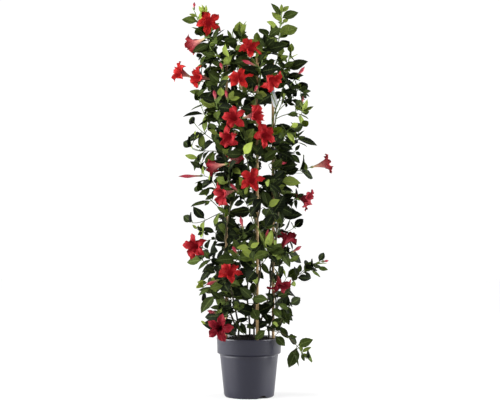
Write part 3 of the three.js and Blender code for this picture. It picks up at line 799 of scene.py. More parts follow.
@dataclass
class Soil:
    """The potting soil: a heaped, crumbly filling. Millimetres."""

    edge: float = 178.0
    crown: float = 197.0
    sides: int = 84
    crumbs: int = 420
    lump: float = 2.4
    level_reach: float = 98.0
    outer_ring: float = 100.2
    ring_step: float = 4.6
    rings: int = 22

    def height_at(self, radius: float) -> float:
        """The mean height of the surface at a distance from the middle."""
        share = min(1.0, radius / self.level_reach)
        return self.crown - (self.crown - self.edge) * share**1.7

    def bump_at(self, x: float, y: float) -> float:
        """How far the surface stands above its mean height."""
        broad = noise.noise(Vector((x * 0.035, y * 0.035, 3.1)))
        fine = noise.noise(Vector((x * 0.13, y * 0.13, 7.7)))
        grit = noise.noise(Vector((x * 0.42, y * 0.42, 1.3)))
        return self.lump * broad + 1.5 * fine + 0.7 * grit

    def build(self) -> None:
        """Makes the soil and the crumbs on it."""
        filling = [(1.0, 3.4), (74.4, 3.4), (77.8, 8.8), (91.3, 138.6), (99.6, 143.4)]
        radii = [self.outer_ring - self.ring_step * k for k in range(self.rings)]
        surface = [(r, self.height_at(r)) for r in radii if r > 1.0]
        soil = turned_form("potting_soil", metres(filling + surface), self.sides)
        points = points_of(soil)
        for point in points:
            radius = math.hypot(point[0], point[1]) / MM
            if point[2] > (self.edge - 7) * MM and radius < self.level_reach + 1:
                point[2] += self.bump_at(point[0] / MM, point[1] / MM) * MM
        move_points(soil, points)
        smooth(soil, 60.0)
        piece = join(soil, *self.scatter())
        dress(piece, PottingSoil().material())
        hand_over(piece, Slot.SOIL, "soil")

    def scatter(self) -> list[Object]:
        """Crumbs of soil that lie half sunk in the surface."""
        dice = np.random.default_rng(SEED)
        deselect()
        bpy.ops.mesh.primitive_ico_sphere_add(subdivisions=1, radius=1 * MM)
        blank = bpy.context.active_object
        crumbs = []
        for k in range(self.crumbs):
            radius = (self.level_reach - 2) * math.sqrt(dice.random())
            turn = dice.random() * math.tau
            x, y = radius * math.cos(turn), radius * math.sin(turn)
            z = self.height_at(radius) + self.bump_at(x, y)
            size = dice.uniform(0.7, 2.6, 3)
            crumb = copy_of(blank, f"crumb_{k}")
            points = points_of(blank) * (1 + 0.25 * dice.standard_normal((12, 1)).clip(-1, 1))
            move_points(crumb, points * size + np.array([x, y, z + 0.3]) * MM)
            crumbs.append(crumb)
        bpy.data.objects.remove(blank)
        return crumbs


@dataclass
class Cane:
    """A bamboo cane that stands in the soil. Millimetres."""

    name: str
    centre: Pair
    radius: float = 4.7
    foot: float = 70.0
    top: float = 1085.0
    internode: float = 172.0
    ridge: float = 0.5
    sides: int = 20

    def nodes(self) -> list[float]:
        """The heights of the cane's nodes."""
        heights = []
        z = self.foot + self.internode * 0.8
        while z < self.top - 20:
            heights.append(z)
            z += self.internode
        return heights

    def build(self) -> None:
        """Makes the cane."""
        profile = [(0.6, self.foot), (self.radius - 0.5, self.foot), (self.radius, self.foot + 0.8)]
        for z in self.nodes():
            profile += [
                (self.radius - 0.15, z - 14.0), (self.radius - 0.05, z - 4.0),
                (self.radius - 0.35, z - 1.6), (self.radius + self.ridge - 0.1, z - 0.5),
                (self.radius + self.ridge, z + 0.6), (self.radius + 0.1, z + 2.2),
                (self.radius - 0.1, z + 10.0),
            ]
        wall = self.radius - 0.4
        profile += [
            (wall, self.top - 0.7), (wall - 0.5, self.top), (2.1, self.top), (1.7, self.top - 5.0),
            (0.6, self.top - 6.0),
        ]
        cane = turned_form(
            f"bamboo_{self.name}", metres(profile), self.sides, (self.centre[0] * MM, self.centre[1] * MM)
        )
        heights = points_of(cane)[:, 2:] / MM
        apart = np.abs(heights - np.array(self.nodes())).min(axis=1)
        note(cane, "node", np.clip(1.0 - apart / 4.5, 0, 1))
        smooth(cane, 40.0)
        dress(cane, Bamboo().material())
        hand_over(cane, Slot.CANE, self.name)


@dataclass
class Label:
    """A plain plastic strip that hangs from a ring round its cane. Millimetres."""

    centre: Pair = (78.0, 10.0)
    ring_foot: float = 990.0
    ring_height: float = 4.0
    ring_inner: float = 5.5
    ring_outer: float = 6.3
    ring_sides: int = 32
    width: float = 18.0
    length: float = 60.0
    thickness: float = 0.9
    tilt: float = 18.0
    head_share: float = 0.3
    corner: float = 3.2
    curl: float = 1.6
    rows: int = 12

    def strip(self) -> Object:
        """The strip: a plate with round corners, a little curled."""
        deselect()
        bpy.ops.mesh.primitive_cube_add(size=1)
        strip = bpy.context.active_object
        strip.scale = (self.width * MM, self.thickness * MM, self.length * MM)
        settle(strip)
        bpy.ops.object.mode_set(mode="EDIT")
        bpy.ops.mesh.select_all(action="DESELECT")
        bpy.ops.object.mode_set(mode="OBJECT")
        for edge in strip.data.edges:
            ends = [strip.data.vertices[i].co for i in edge.vertices]
            edge.select = abs(ends[0].y - ends[1].y) > self.thickness * MM / 2
        bpy.ops.object.mode_set(mode="EDIT")
        bpy.ops.mesh.bevel(offset=self.corner * MM, segments=5, affect="EDGES")
        bpy.ops.object.mode_set(mode="OBJECT")
        mesh = bmesh.new()
        mesh.from_mesh(strip.data)
        for k in range(1, self.rows):
            level = (k / self.rows - 0.5) * self.length * MM
            everything = [*mesh.verts, *mesh.edges, *mesh.faces]
            bmesh.ops.bisect_plane(mesh, geom=everything, plane_co=(0, 0, level), plane_no=(0, 0, 1))
        mesh.to_mesh(strip.data)
        mesh.free()
        points = points_of(strip)
        share = points[:, 2] / (self.length * MM) + 0.5
        note(strip, "head", np.clip((share - 1 + self.head_share) * 60, 0, 1))
        points[:, 1] -= self.curl * MM * np.sin(share * math.pi)
        points[:, 2] += (self.ring_height - self.length / 2) * MM
        lean = math.radians(self.tilt)
        x, z = points[:, 0].copy(), points[:, 2].copy()
        points[:, 0] = x * math.cos(lean) - z * math.sin(lean)
        points[:, 2] = z * math.cos(lean) + x * math.sin(lean)
        x, y = self.centre
        points += np.array([x - 6, y - self.ring_outer, self.ring_foot + 2]) * MM
        move_points(strip, points)
        return strip

    def build(self) -> None:
        """Makes the strip and its ring."""
        low, high = self.ring_foot, self.ring_foot + self.ring_height
        profile = [
            (self.ring_inner, low), (self.ring_outer - 0.2, low), (self.ring_outer, low + 0.3),
            (self.ring_outer, high - 0.3), (self.ring_outer - 0.2, high), (self.ring_inner, high),
            (self.ring_inner, low),
        ]
        centre = (self.centre[0] * MM, self.centre[1] * MM)
        ring = turned_form("plant_label", metres(profile), self.ring_sides, centre)
        note(ring, "head", 0.0)
        strip = self.strip()
        label = join(ring, strip)
        smooth(label, 40.0)
        dress(label, LabelPlastic().material())
        hand_over(label, Slot.LABEL, "label")


# --- Lines that the stems follow ---


def unit(vector: np.ndarray) -> np.ndarray:
    """The vector at length 1."""
    return vector / max(1e-12, float(np.linalg.norm(vector)))


def turned_about(vector: np.ndarray, axis: np.ndarray, angle: float) -> np.ndarray:
    """A vector turned about a unit axis by an angle in radians."""
    across = np.cross(axis, vector)
    along = axis * float(axis @ vector)
    return along + (vector - along) * math.cos(angle) + across * math.sin(angle)


def catmull_rom(knots: Sequence[Triple], fine: int = 40) -> np.ndarray:
    """A centripetal curve through knots.

    Args:
        knots: The points that it passes.
        fine: Samples between two knots.

    Returns:
        Points along the curve, one in a row.
    """
    ends = [np.array(k, float) for k in knots]
    ends = [2 * ends[0] - ends[1], *ends, 2 * ends[-1] - ends[-2]]
    rows = [ends[1]]
    for p0, p1, p2, p3 in zip(ends, ends[1:], ends[2:], ends[3:]):
        steps = (p1 - p0, p2 - p1, p3 - p2)
        d0, d1, d2 = (max(1e-4, float(np.linalg.norm(step))) ** 0.5 for step in steps)
        t1 = ((p1 - p0) / d0 - (p2 - p0) / (d0 + d1) + (p2 - p1) / d1) * d1
        t2 = ((p2 - p1) / d1 - (p3 - p1) / (d1 + d2) + (p3 - p2) / d2) * d1
        for k in range(1, fine + 1):
            t = k / fine
            square, cube = 3 * (p2 - p1) - 2 * t1 - t2, 2 * (p1 - p2) + t1 + t2
            rows.append(p1 + t1 * t + square * t**2 + cube * t**3)
    return np.array(rows)


def bezier(corners: Sequence[np.ndarray], fine: int = 120) -> np.ndarray:
    """Points along the cubic curve of four corners."""
    t = np.linspace(0, 1, fine + 1)[:, None]
    a, b, c, d = corners
    return a * (1 - t) ** 3 + 3 * b * t * (1 - t) ** 2 + 3 * c * t**2 * (1 - t) + d * t**3


def respaced(points: np.ndarray, count: int) -> np.ndarray:
    """The same way in evenly spaced points, count stretches in all."""
    reach = np.concatenate([[0], np.cumsum(np.linalg.norm(np.diff(points, axis=0), axis=1))])
    wanted = np.linspace(0, reach[-1], count + 1)
    return np.stack([np.interp(wanted, reach, points[:, k]) for k in range(3)], axis=1)


SMOOTH_STEP = 7.0  # between the points of a smooth way
WINDING_STEP, FREE_STEP, TWIG_STEP = 36.0, 52.0, 20.0  # straight stretches of the solids


@dataclass
class Line:
    """The way of a stem: smooth, and in the straight stretches of its solid. Millimetres."""

    points: np.ndarray
    step: float
    length: float = field(init=False)
    stretches: np.ndarray = field(init=False)

    def __post_init__(self) -> None:
        """Measures the way and spaces its points."""
        self.length = float(np.linalg.norm(np.diff(self.points, axis=0), axis=1).sum())
        self.stretches = respaced(self.points, max(2, round(self.length / self.step)))
        self.points = respaced(self.points, max(4, round(self.length / SMOOTH_STEP)))

    def at(self, share: float) -> tuple[np.ndarray, np.ndarray]:
        """The place and the direction at a share of the length."""
        steps = len(self.points) - 1
        k = min(steps - 1, int(share * steps))
        low, high = self.points[k], self.points[k + 1]
        return low + (high - low) * (share * steps - k), unit(high - low)

    def at_height(self, z: float) -> np.ndarray:
        """The place on the solid's stretches at a height."""
        k = 0
        while k < len(self.stretches) - 2 and self.stretches[k + 1][2] < z:
            k += 1
        low, high = self.stretches[k], self.stretches[k + 1]
        return low + (high - low) * min(0.98, max(0.0, (z - low[2]) / (high[2] - low[2])))

    def nearest(self, point: np.ndarray) -> tuple[float, float, np.ndarray]:
        """How far away the way passes a point, at what share of its length, and where."""
        apart = np.linalg.norm(self.points - point, axis=1)
        k = int(apart.argmin())
        return float(apart[k]), k / (len(self.points) - 1), self.points[k]


def looking(turn: float, lift: float) -> np.ndarray:
    """A direction, in degrees right of the front and upwards."""
    a, e = math.radians(turn), math.radians(lift)
    return np.array([math.sin(a) * math.cos(e), -math.cos(a) * math.cos(e), math.sin(e)])


def axes_of(direction: np.ndarray) -> tuple[np.ndarray, np.ndarray]:
    """The sideways and upward axes of a thing that looks along a direction."""
    side = np.cross(UP, direction)
    side = unit(side) if side @ side > 1e-4 else np.array([1.0, 0.0, 0.0])
    return side, np.cross(direction, side)


# --- The plant's plan ---

CANES = {"cane_front": (26.0, -74.0), "cane_right": (78.0, 10.0), "cane_left": (-74.0, 26.0)}


@dataclass(frozen=True)
class MainStem:
    """A stem from the soil to its tip: where it stands, its cane, and its free way. Millimetres."""

    name: str
    root: Pair
    way: tuple[Triple, ...]
    cane: str | None = None
    start_turn: float = 0.0

    def line(self) -> Line:
        """The stem's way."""
        x, y = self.root
        knots: list[Triple] = [(x, y, z) for z in (143.0, 195.0, 226.0)]
        if self.cane:
            cx, cy = CANES[self.cane]
            z = TWINE_FROM
            while z <= TWINE_TO:
                angle = math.radians(self.start_turn) + (z - TWINE_FROM) / TWINE_PITCH * math.tau
                knots.append((cx + TWINE_RADIUS * math.cos(angle), cy + TWINE_RADIUS * math.sin(angle), z))
                z += TWINE_PITCH / 12
        knots += self.way
        return Line(catmull_rom(knots), WINDING_STEP if self.cane else FREE_STEP)


TWINE_RADIUS, TWINE_PITCH, TWINE_FROM, TWINE_TO = 10.0, 205.0, 275.0, 1055.0

MAIN_STEMS = (
    MainStem(
        "vine_left", (-46, 18),
        ((-101, -8, 1100), (-137, -20, 1160), (-164, -25, 1212), (-176, -25, 1244)), "cane_left", 0,
    ),
    MainStem(
        "vine_front", (16, -46), ((6, -62, 1095), (-22, -48, 1150), (-28, -42, 1198)), "cane_front", 120
    ),
    MainStem(
        "vine_right", (64, -18), ((95, 8, 1100), (98, 5, 1165), (103, 0, 1217), (110, 0, 1262)),
        "cane_right", -36,
    ),
    MainStem(
        "vine_back",
        (2, 40),
        ((-6, 62, 340), (22, 96, 590), (-16, 84, 830), (-34, 62, 1040), (-56, 60, 1196)),
    ),
    MainStem(
        "vine_inner_left",
        (-34, -24),
        (
            (-52, -42, 320), (-78, -58, 480), (-58, -72, 640), (-84, -52, 800), (-98, -56, 930),
            (-88, -72, 1030),
        ),
    ),
    MainStem(
        "vine_inner_right",
        (34, -6),
        (
            (62, -30, 320), (84, -48, 500), (98, -40, 690), (72, -52, 860), (112, -20, 1000),
            (137, 28, 1132),
        ),
    ),
)

# Blooms: stem, height of leaving, middle of the face, turn and lift of the look, share of the spread.
BLOOMS = (
    ("vine_left", 1135, (-129, -60, 1204), 10, 15, 1.0),
    ("vine_left", 1092, (-180, -38, 1135), -126, -18, 0.85),
    ("vine_left", 985, (-226, -24, 1048), -56, 16, 0.85),
    ("vine_left", 945, (-166, -46, 1028), -56, 2, 0.88),
    ("vine_front", 950, (-29, -124, 1017), -8, 38, 0.95),
    ("vine_front", 1050, (6, -98, 1117), 14, 38, 0.95),
    ("vine_front", 960, (72, -112, 1006), 42, -46, 0.95),
    ("vine_inner_left", 800, (-48, -146, 888), -12, 12, 0.95),
    ("vine_front", 820, (22, -128, 896), 52, 6, 0.9),
    ("vine_inner_left", 745, (-68, -136, 822), -34, -28, 0.9),
    ("vine_front", 762, (52, -134, 832), 20, 4, 0.95),
    ("vine_front", 622, (9, -138, 694), 0, 22, 1.0),
    ("vine_inner_left", 690, (-44, -28, 764), 160, 25, 0.8),
    ("vine_left", 670, (-116, -62, 737), -122, -8, 0.7),
    ("vine_inner_left", 590, (-86, -122, 645), -60, -18, 0.95),
    ("vine_right", 640, (252, -10, 752), 99, 14, 0.8),
    ("vine_right", 585, (186, -20, 634), 72, -22, 0.95),
    ("vine_left", 420, (-176, -60, 484), -28, 6, 1.0),
    ("vine_inner_left", 330, (-58, -126, 406), 0, 36, 1.0),
    ("vine_right", 430, (123, -10, 512), 150, 48, 0.9),
    ("vine_inner_right", 372, (99, -72, 352), 22, -60, 0.95),
    ("vine_inner_left", 232, (-94, -136, 228), -6, 0, 1.0),
)

# How dark a bloom is, by its number from 0, where it isn't fresh: partly its age, partly painted shade,
# mostly darker lower on the plant.
AGE_AND_SHADE = {
    1: 0.06, 3: 0.1, 5: 0.1, 6: 0.15, 7: 0.35, 8: 0.35, 9: 0.45, 10: 0.32, 11: 0.2, 12: 0.12,
    13: 0.5, 14: 0.55, 15: 0.28, 16: 0.85, 17: 0.5, 18: 0.22, 19: 1.0, 20: 0.92, 21: 0.85,
}

# Buds: stem, height of leaving, foot, tip.
BUDS = (
    ("vine_left", 1236, (-179, -25, 1252), (-178, -25, 1277)),
    ("vine_inner_left", 1000, (-84, -86, 1043), (-92, -92, 1069)),
    ("vine_front", 1000, (24, -108, 1055), (-24, -122, 1071)),
    ("vine_inner_left", 885, (-105, -112, 943), (-111, -116, 977)),
    ("vine_inner_left", 915, (-68, -112, 947), (-75, -116, 978)),
    ("vine_right", 960, (154, -20, 1033), (181, -25, 1066)),
    ("vine_right", 880, (172, -18, 946), (175, -22, 970)),
    ("vine_left", 650, (-152, -20, 711), (-229, -25, 709)),
    ("vine_inner_right", 690, (70, -66, 748), (122, -62, 750)),
    ("vine_front", 600, (-34, -118, 655), (-60, -128, 680)),
    ("vine_inner_left", 470, (-19, -92, 538), (-28, -94, 579)),
    ("vine_inner_right", 430, (56, -104, 487), (59, -108, 538)),
    ("vine_inner_left", 415, (-36, -112, 459), (-53, -120, 484)),
    ("vine_right", 400, (137, -34, 464), (169, -34, 484)),
    ("vine_inner_left", 318, (-97, -100, 377), (-136, -110, 362)),
    ("vine_inner_left", 240, (-101, -92, 272), (-132, -102, 281)),
    ("vine_front", 930, (14, -112, 968), (28, -122, 992)),
    ("vine_right", 345, (236, -12, 434), (258, -12, 437)),
)

# Leafy side shoots: stem, height of leaving, end.
LEAFY = (
    ("vine_front", 1060, (62, -58, 1158)), ("vine_back", 1060, (24, 52, 1150)),
    ("vine_right", 880, (162, 24, 1000)), ("vine_right", 745, (172, 22, 880)),
    ("vine_right", 540, (150, 30, 640)), ("vine_left", 800, (-178, -10, 884)),
    ("vine_left", 730, (-188, 2, 806)), ("vine_left", 880, (-165, 30, 965)),
    ("vine_left", 590, (-152, 10, 668)), ("vine_left", 500, (-186, -12, 560)),
    ("vine_left", 350, (-152, -6, 440)), ("vine_inner_left", 300, (-148, -44, 352)),
    ("vine_left", 270, (-138, 20, 300)), ("vine_inner_right", 262, (132, -52, 296)),
    ("vine_inner_right", 560, (60, -118, 610)), ("vine_front", 700, (-18, -120, 772)),
    ("vine_front", 380, (14, -124, 450)), ("vine_front", 285, (10, -116, 318)),
    ("vine_inner_right", 790, (128, -70, 850)), ("vine_inner_right", 930, (60, -84, 1010)),
    ("vine_back", 300, (-70, 112, 370)), ("vine_back", 380, (62, 120, 450)),
    ("vine_back", 500, (-50, 132, 570)), ("vine_back", 620, (92, 112, 700)),
    ("vine_back", 720, (-80, 118, 800)), ("vine_back", 820, (40, 128, 900)),
    ("vine_back", 920, (-100, 92, 1000)), ("vine_back", 1000, (30, 104, 1080)),
    ("vine_right", 310, (124, 82, 380)), ("vine_right", 470, (148, 70, 545)),
)

TRAILING_STEM, TRAILING_FROM = "vine_inner_right", 236.0
TRAILING_WAY = ((78, -52, 220), (120, -66, 198), (152, -72, 168), (182, -76, 128))

TUBE = 54.0  # from a bloom's face to its foot
TUBE_ROOM = 12.0  # from its axis to the nearest leaf
SPREAD = 40.0  # radius of a full bloom
STALK_GAP = 0.35


@dataclass
class Shoot:
    """A side shoot: its stem and way, and its radii in millimetres."""

    stem: str
    line: Line
    foot_radius: float = 1.5
    tip_radius: float = 1.1
    bears_flower: bool = False


def shoot_points(start: np.ndarray, end: np.ndarray, direction: np.ndarray) -> np.ndarray:
    """A way that leaves outwards, rises and comes to its end along a direction."""
    reach = float(np.linalg.norm(end - start))
    leaving = (end - start) * 0.32 + UP * reach * 0.06
    return bezier((start, start + leaving, end - direction * reach * 0.34, end))


class Plan:
    """All the stems and shoots of the plant."""

    def __init__(self) -> None:
        """Lays out the main stems, then every shoot."""
        self.stems = {stem.name: stem for stem in MAIN_STEMS}
        self.lines = {stem.name: stem.line() for stem in MAIN_STEMS}
        self.shoots: list[Shoot] = []
        for stem, height, at, turn, lift, _ in BLOOMS:
            direction = looking(turn, lift)
            end = np.array(at, float) - direction * (TUBE + STALK_GAP)
            self.add(stem, height, end, direction, True)
        for stem, height, foot, tip in BUDS:
            direction = unit(np.array(tip, float) - np.array(foot, float))
            self.add(stem, height, np.array(foot, float) - direction * STALK_GAP, direction, True)
        for stem, height, end in LEAFY:
            self.add(stem, height, np.array(end, float), None, False)
        start = self.lines[TRAILING_STEM].at_height(TRAILING_FROM)
        way = catmull_rom([tuple(start), *TRAILING_WAY])
        self.shoots.append(Shoot(TRAILING_STEM, Line(way, FREE_STEP)))

    def add(
        self, stem: str, height: float, end: np.ndarray, direction: np.ndarray | None, flower: bool
    ) -> None:
        """Adds a shoot.

        Args:
            stem: The main stem that it leaves.
            height: Where it leaves it.
            end: Its end.
            direction: The way it points at its end; None for one that rises freely.
            flower: Whether it bears a flower or bud.
        """
        start = self.leaving(stem, height, end)
        if direction is None:
            direction = unit(unit(end - start) + UP * 0.5)
        line = Line(shoot_points(start, end, direction), FREE_STEP)
        self.shoots.append(Shoot(stem, line, bears_flower=flower))

    def leaving(self, name: str, height: float, end: np.ndarray) -> np.ndarray:
        """Where a shoot leaves its stem: on a winding stem, where it faces the shoot's end."""
        cane = self.stems[name].cane
        line = self.lines[name]
        if not cane:
            return line.at_height(height)
        axis = np.array(CANES[cane])
        towards = unit(end[:2] - axis)
        best, found = -math.inf, line.at_height(height)
        for k in range(25):
            shift = (k / 24 - 0.5) * TWINE_PITCH
            point = line.at_height(height + shift)
            score = float(unit(point[:2] - axis) @ towards) - abs(shift) / (TWINE_PITCH * 3)
            if score > best + 1e-12:
                best, found = score, point
        return found

    def lines_of(self, stem: str) -> list[Line]:
        """The main line of a stem and those of its shoots."""
        return [self.lines[stem], *(s.line for s in self.shoots if s.stem == stem)]


# --- Leaves ---


@dataclass
class Leaf:
    """A blade: its root, its axes, and its form. Millimetres."""

    root: np.ndarray
    along: np.ndarray
    above: np.ndarray
    length: float
    width: float
    sag: float
    fold: float
    wave: float
    # how young the leaf is, and how lit it is painted
    youth: float = 0.3

    @property
    def across(self) -> np.ndarray:
        """The axis to the blade's left."""
        return np.cross(self.above, self.along)

    def place(self, u: np.ndarray, v: np.ndarray) -> np.ndarray:
        """Where points of the blade are.

        Args:
            u: Shares of the length, from the root.
            v: Distances from the rib, in millimetres, to the left.

        Returns:
            The points, one in a row.
        """
        half = max(1.0, self.width / 2)
        ripple = self.wave * np.sin((u - 0.38) * 9.0 + 1.6) * v / half
        out = np.clip(np.abs(v) / half, 0, 1)
        arch = 0.05 * self.width * np.sin(out * math.pi) * np.sin(u * math.pi)
        rise = self.fold * np.abs(v) + arch + ripple - self.sag * u**2
        return (
            self.root
            + np.outer(u * self.length, self.along)
            + np.outer(v, self.across)
            + np.outer(rise, self.above)
        )

    def samples(self) -> np.ndarray:
        """A few points that stand for the blade."""
        u = np.array([0.35, 0.62, 0.97, 0.5, 0.5, 0.78, 0.78])
        v = np.array([0, 0, 0, 0.4, -0.4, 0.26, -0.26]) * self.width
        return self.place(u, v)


class LeafReader:
    """Reads the leaves of a packed vine out of its mesh, one for each blade tip. Millimetres."""

    THICKNESS = 0.8  # of a packed blade
    SLACK = 0.03  # in that thickness
    TIP_SHARE = 0.62  # of the length, from the blade's middle to its tip
    SAG_SHARE = 1 - 0.1444  # of the sag, from there to the tip
    HALF_SHARE = 0.42  # of the width, from the rib to the blade's side
    SIDE_SAG = 0.49  # of the sag, at the sides
    SHORTEST = 20

    def __init__(self, node: Object) -> None:
        """Merges a copy of the node's mesh and keeps it for reading."""
        self.mesh = bmesh.new()
        self.mesh.from_mesh(node.data)
        bmesh.ops.remove_doubles(self.mesh, verts=self.mesh.verts, dist=2e-6)
        self.mesh.verts.index_update()

    @staticmethod
    def around(vert: bmesh.types.BMVert) -> set[bmesh.types.BMVert]:
        """The vertices that share an edge with this one."""
        return {edge.other_vert(vert) for edge in vert.link_edges}

    def paired(self, ring: set[bmesh.types.BMVert]) -> list[tuple] | None:
        """Splits a tip's four neighbours into an upper and a lower one on each side."""
        first, *rest = sorted(ring, key=lambda vert: vert.index)
        rest.sort(key=lambda v: (v.co - first.co).length)
        pairs = [(first, rest[0]), (rest[1], rest[2])]
        sided = []
        for a, b in pairs:
            if abs((a.co - b.co).length / MM - self.THICKNESS) > self.SLACK:
                return None
            upper, lower = (a, b) if len(a.link_edges) < len(b.link_edges) else (b, a)
            sided.append((upper, lower))
        return sided

    def blade(self, tip: bmesh.types.BMVert) -> Leaf | None:
        """The leaf that ends in a vertex, or None where that isn't a blade's tip."""
        ring = self.around(tip)
        if len(ring) != 4:
            return None
        pairs = self.paired(ring)
        if pairs is None:
            return None
        (up_a, low_a), (up_b, low_b) = pairs
        rib_up = (self.around(up_a) & self.around(up_b)) - {tip}
        rib_low = (self.around(low_a) & self.around(low_b)) - {tip}
        if len(rib_up) != 1 or len(rib_low) != 1:
            return None
        top, under = np.array(rib_up.pop().co) / MM, np.array(rib_low.pop().co) / MM
        if abs(np.linalg.norm(top - under) - self.THICKNESS) > self.SLACK:
            return None
        above = unit(top - under)
        middle = (top + under) / 2
        end = np.array(tip.co) / MM
        side = np.array(up_a.co - up_b.co) / MM
        side -= above * (side @ above)
        along = unit(np.cross(unit(side), above))
        if along @ (end - middle) < 0:
            along, side = -along, -side
        length = float((end - middle) @ along) / self.TIP_SHARE
        sag = -float((end - middle) @ above) / self.SAG_SHARE
        upper = (np.array(up_a.co) + np.array(up_b.co)) / 2 / MM
        half = float(np.linalg.norm(side)) / 2
        root = end - along * length + above * sag
        lift = float((upper - root) @ above) - self.THICKNESS / 2 + sag * self.SIDE_SAG
        return Leaf(root, along, above, length, half / self.HALF_SHARE, sag, lift / half, 0.0)

    def leaves(self) -> list[Leaf]:
        """All the leaves of the vine, in the order of their tips' heights."""
        read = map(self.blade, self.mesh.verts)
        found = [leaf for leaf in read if leaf and leaf.length > self.SHORTEST]
        return sorted(found, key=lambda leaf: (round(leaf.root[2], 3), round(leaf.root[0], 3)))


class LeafBlank:
    """A flat oval sheet that every leaf is a copy of, bent to its own form."""

    # Shares of the length, and of the width.
    STATIONS = (
        (0.0, 0.05), (0.1, 0.34), (0.24, 0.82), (0.42, 1.0), (0.62, 0.9), (0.82, 0.52), (1.0, 0.0),
    )
    STALK_SHARE = 0.09  # of the length, bare before the blade

    def __init__(self) -> None:
        """Makes the sheet: a grid whose rows are moved and drawn in to a pointed oval."""
        deselect()
        rows = len(self.STATIONS) - 1
        bpy.ops.mesh.primitive_grid_add(x_subdivisions=4, y_subdivisions=rows, size=1)
        self.sheet = bpy.context.active_object
        self.sheet.name = "leaf_blank"
        points = points_of(self.sheet)
        station = np.rint((points[:, 1] + 0.5) * rows).astype(int)
        shares = np.array(self.STATIONS)
        self.u = shares[station, 0]
        self.v = points[:, 0] * shares[station, 1]
        points[:, 0], points[:, 1] = self.v, self.u
        move_points(self.sheet, points)

    def bent(self, leaf: Leaf, name: str) -> Object:
        """A copy of the sheet in a leaf's form and place.

        Args:
            leaf: The leaf.
            name: The copy's name.

        Returns:
            The copy.
        """
        obj = copy_of(self.sheet, name)
        u = self.STALK_SHARE + self.u * (1 - self.STALK_SHARE)
        move_points(obj, leaf.place(u, self.v * leaf.width) * MM)
        note(obj, "youth", leaf.youth)
        return obj


# --- Vines ---

# The plant's outline at heights, left and right, in millimetres.
OUTLINE = (
    (215, -112, 138), (300, -112, 138), (350, -125, 150), (420, -150, 280), (470, -160, 285),
    (500, -135, 160), (570, -120, 155), (620, -165, 160), (700, -140, 165), (780, -180, 165),
    (870, -180, 165), (920, -165, 170), (1000, -175, 215), (1060, -180, 180), (1120, -185, 145),
    (1170, -190, 128), (1200, -195, 126), (1278, -195, 126),
)

# Gaps through the plant as seen from the front: left, right, foot and top, in millimetres.
OPEN_SPACES = (
    (-82, -54, 1168, 1290), (-28, 0, 1183, 1202), (2, 38, 1160, 1290), (38, 68, 1192, 1290),
    (72, 92, 1170, 1198), (70, 98, 1258, 1290), (-230, -183, 1215, 1250), (-190, -160, 1186, 1206),
    (100, 118, 1125, 1160), (74, 98, 1054, 1098), (-182, -166, 1072, 1100), (145, 195, 1078, 1110),
    (168, 195, 1003, 1038), (34, 50, 1018, 1042), (42, 60, 984, 1005), (146, 160, 948, 976),
    (-220, -165, 900, 940), (-165, -145, 905, 950), (-220, -186, 815, 872), (-165, -150, 785, 812),
    (-45, -22, 783, 802), (-57, -47, 750, 770), (-28, -12, 752, 785), (38, 50, 682, 716),
    (134, 166, 690, 726), (-185, -132, 680, 710), (120, 160, 530, 560), (-192, -176, 515, 542),
    (-128, -100, 512, 536), (-150, -100, 422, 446), (-142, -112, 236, 286), (86, 96, 400, 420),
    (120, 165, 370, 388), (142, 170, 306, 342), (42, 70, 260, 290), (114, 138, 228, 246),
    (-190, -135, 860, 900), (-140, -108, 800, 850), (-190, -150, 780, 825), (-190, -108, 570, 650),
    (140, 200, 560, 620), (105, 140, 565, 600), (-190, -150, 440, 475), (140, 250, 462, 490),
    (-160, -125, 395, 420), (-160, -122, 300, 345), (30, 66, 308, 372), (36, 76, 880, 948),
    (85, 101, 880, 948), (112, 140, 880, 948), (43, 78, 716, 756), (-113, -95, 780, 812),
    (-46, -34, 560, 636), (-22, -3, 560, 636), (30, 43, 560, 636), (30, 65, 358, 440),
    (111, 134, 358, 440), (-58, -44, 230, 266), (2, 19, 230, 266), (64, 74, 230, 266),
    (143, 163, 598, 636),
)
LABEL_SPACE = (64, 104, 946, 1004)

# Sprays that stand out: where the leaves spring from, then each one's tip (x and z), width and youth,
# whose low values paint a leaf in shade and high ones paint it lit.
SPRAYS = (
    ((168, -30, 985), ((188, 1000, 13, 0.15), (200, 985, 13, 0.25), (196, 968, 12, 0.1),
        (178, 1003, 10, 0.3))),
    ((124, 20, 952), ((112, 960, 14, 0.05), (142, 962, 15, 0.05), (150, 946, 12, 0.1),
        (120, 938, 9, 0.05))),
    ((56, 30, 962), ((38, 955, 15, 0.05), (74, 952, 14, 0.05), (50, 942, 10, 0.05))),
    ((54, 10, 800), ((62, 824, 11, 0.1), (42, 786, 13, 0.1), (44, 764, 13, 0.05), (68, 768, 13, 0.05))),
    ((152, -25, 640), ((176, 652, 14, 0.1), (172, 622, 14, 0.05), (138, 652, 14, 0.1),
        (150, 606, 12, 0.05), (180, 640, 12, 0.2))),
    ((148, -20, 790), ((164, 812, 12, 0.05), (168, 778, 12, 0.05))),
    ((-148, -30, 530), ((-166, 546, 14, 0.05), (-132, 545, 14, 0.05), (-165, 520, 12, 0.1),
        (-130, 520, 13, 0.05))),
    ((-108, -30, 505), ((-122, 512, 12, 0.05), (-94, 512, 12, 0.05), (-112, 485, 10, 0.1))),
    ((-145, -20, 1075), ((-150, 1098, 12, 0.1), (-140, 1060, 13, 0.05), (-122, 1090, 10, 0.1))),
    ((92, -20, 1008), ((98, 1024, 12, 0.05), (84, 1000, 11, 0.05))),
    ((-178, -30, 1125), ((-186, 1136, 9, 0.3), (-176, 1108, 10, 0.25), (-168, 1122, 10, 0.2))),
)


@dataclass(frozen=True)
class Sheet:
    """A part of the front view, drawn larger: its corner on the whole view, and its zoom."""

    left: float
    top: float
    zoom: float

    def seen(self, across: float, down: float) -> Pair:
        """Where a place on the sheet lies on the whole view."""
        return self.left + across / self.zoom, self.top + down / self.zoom


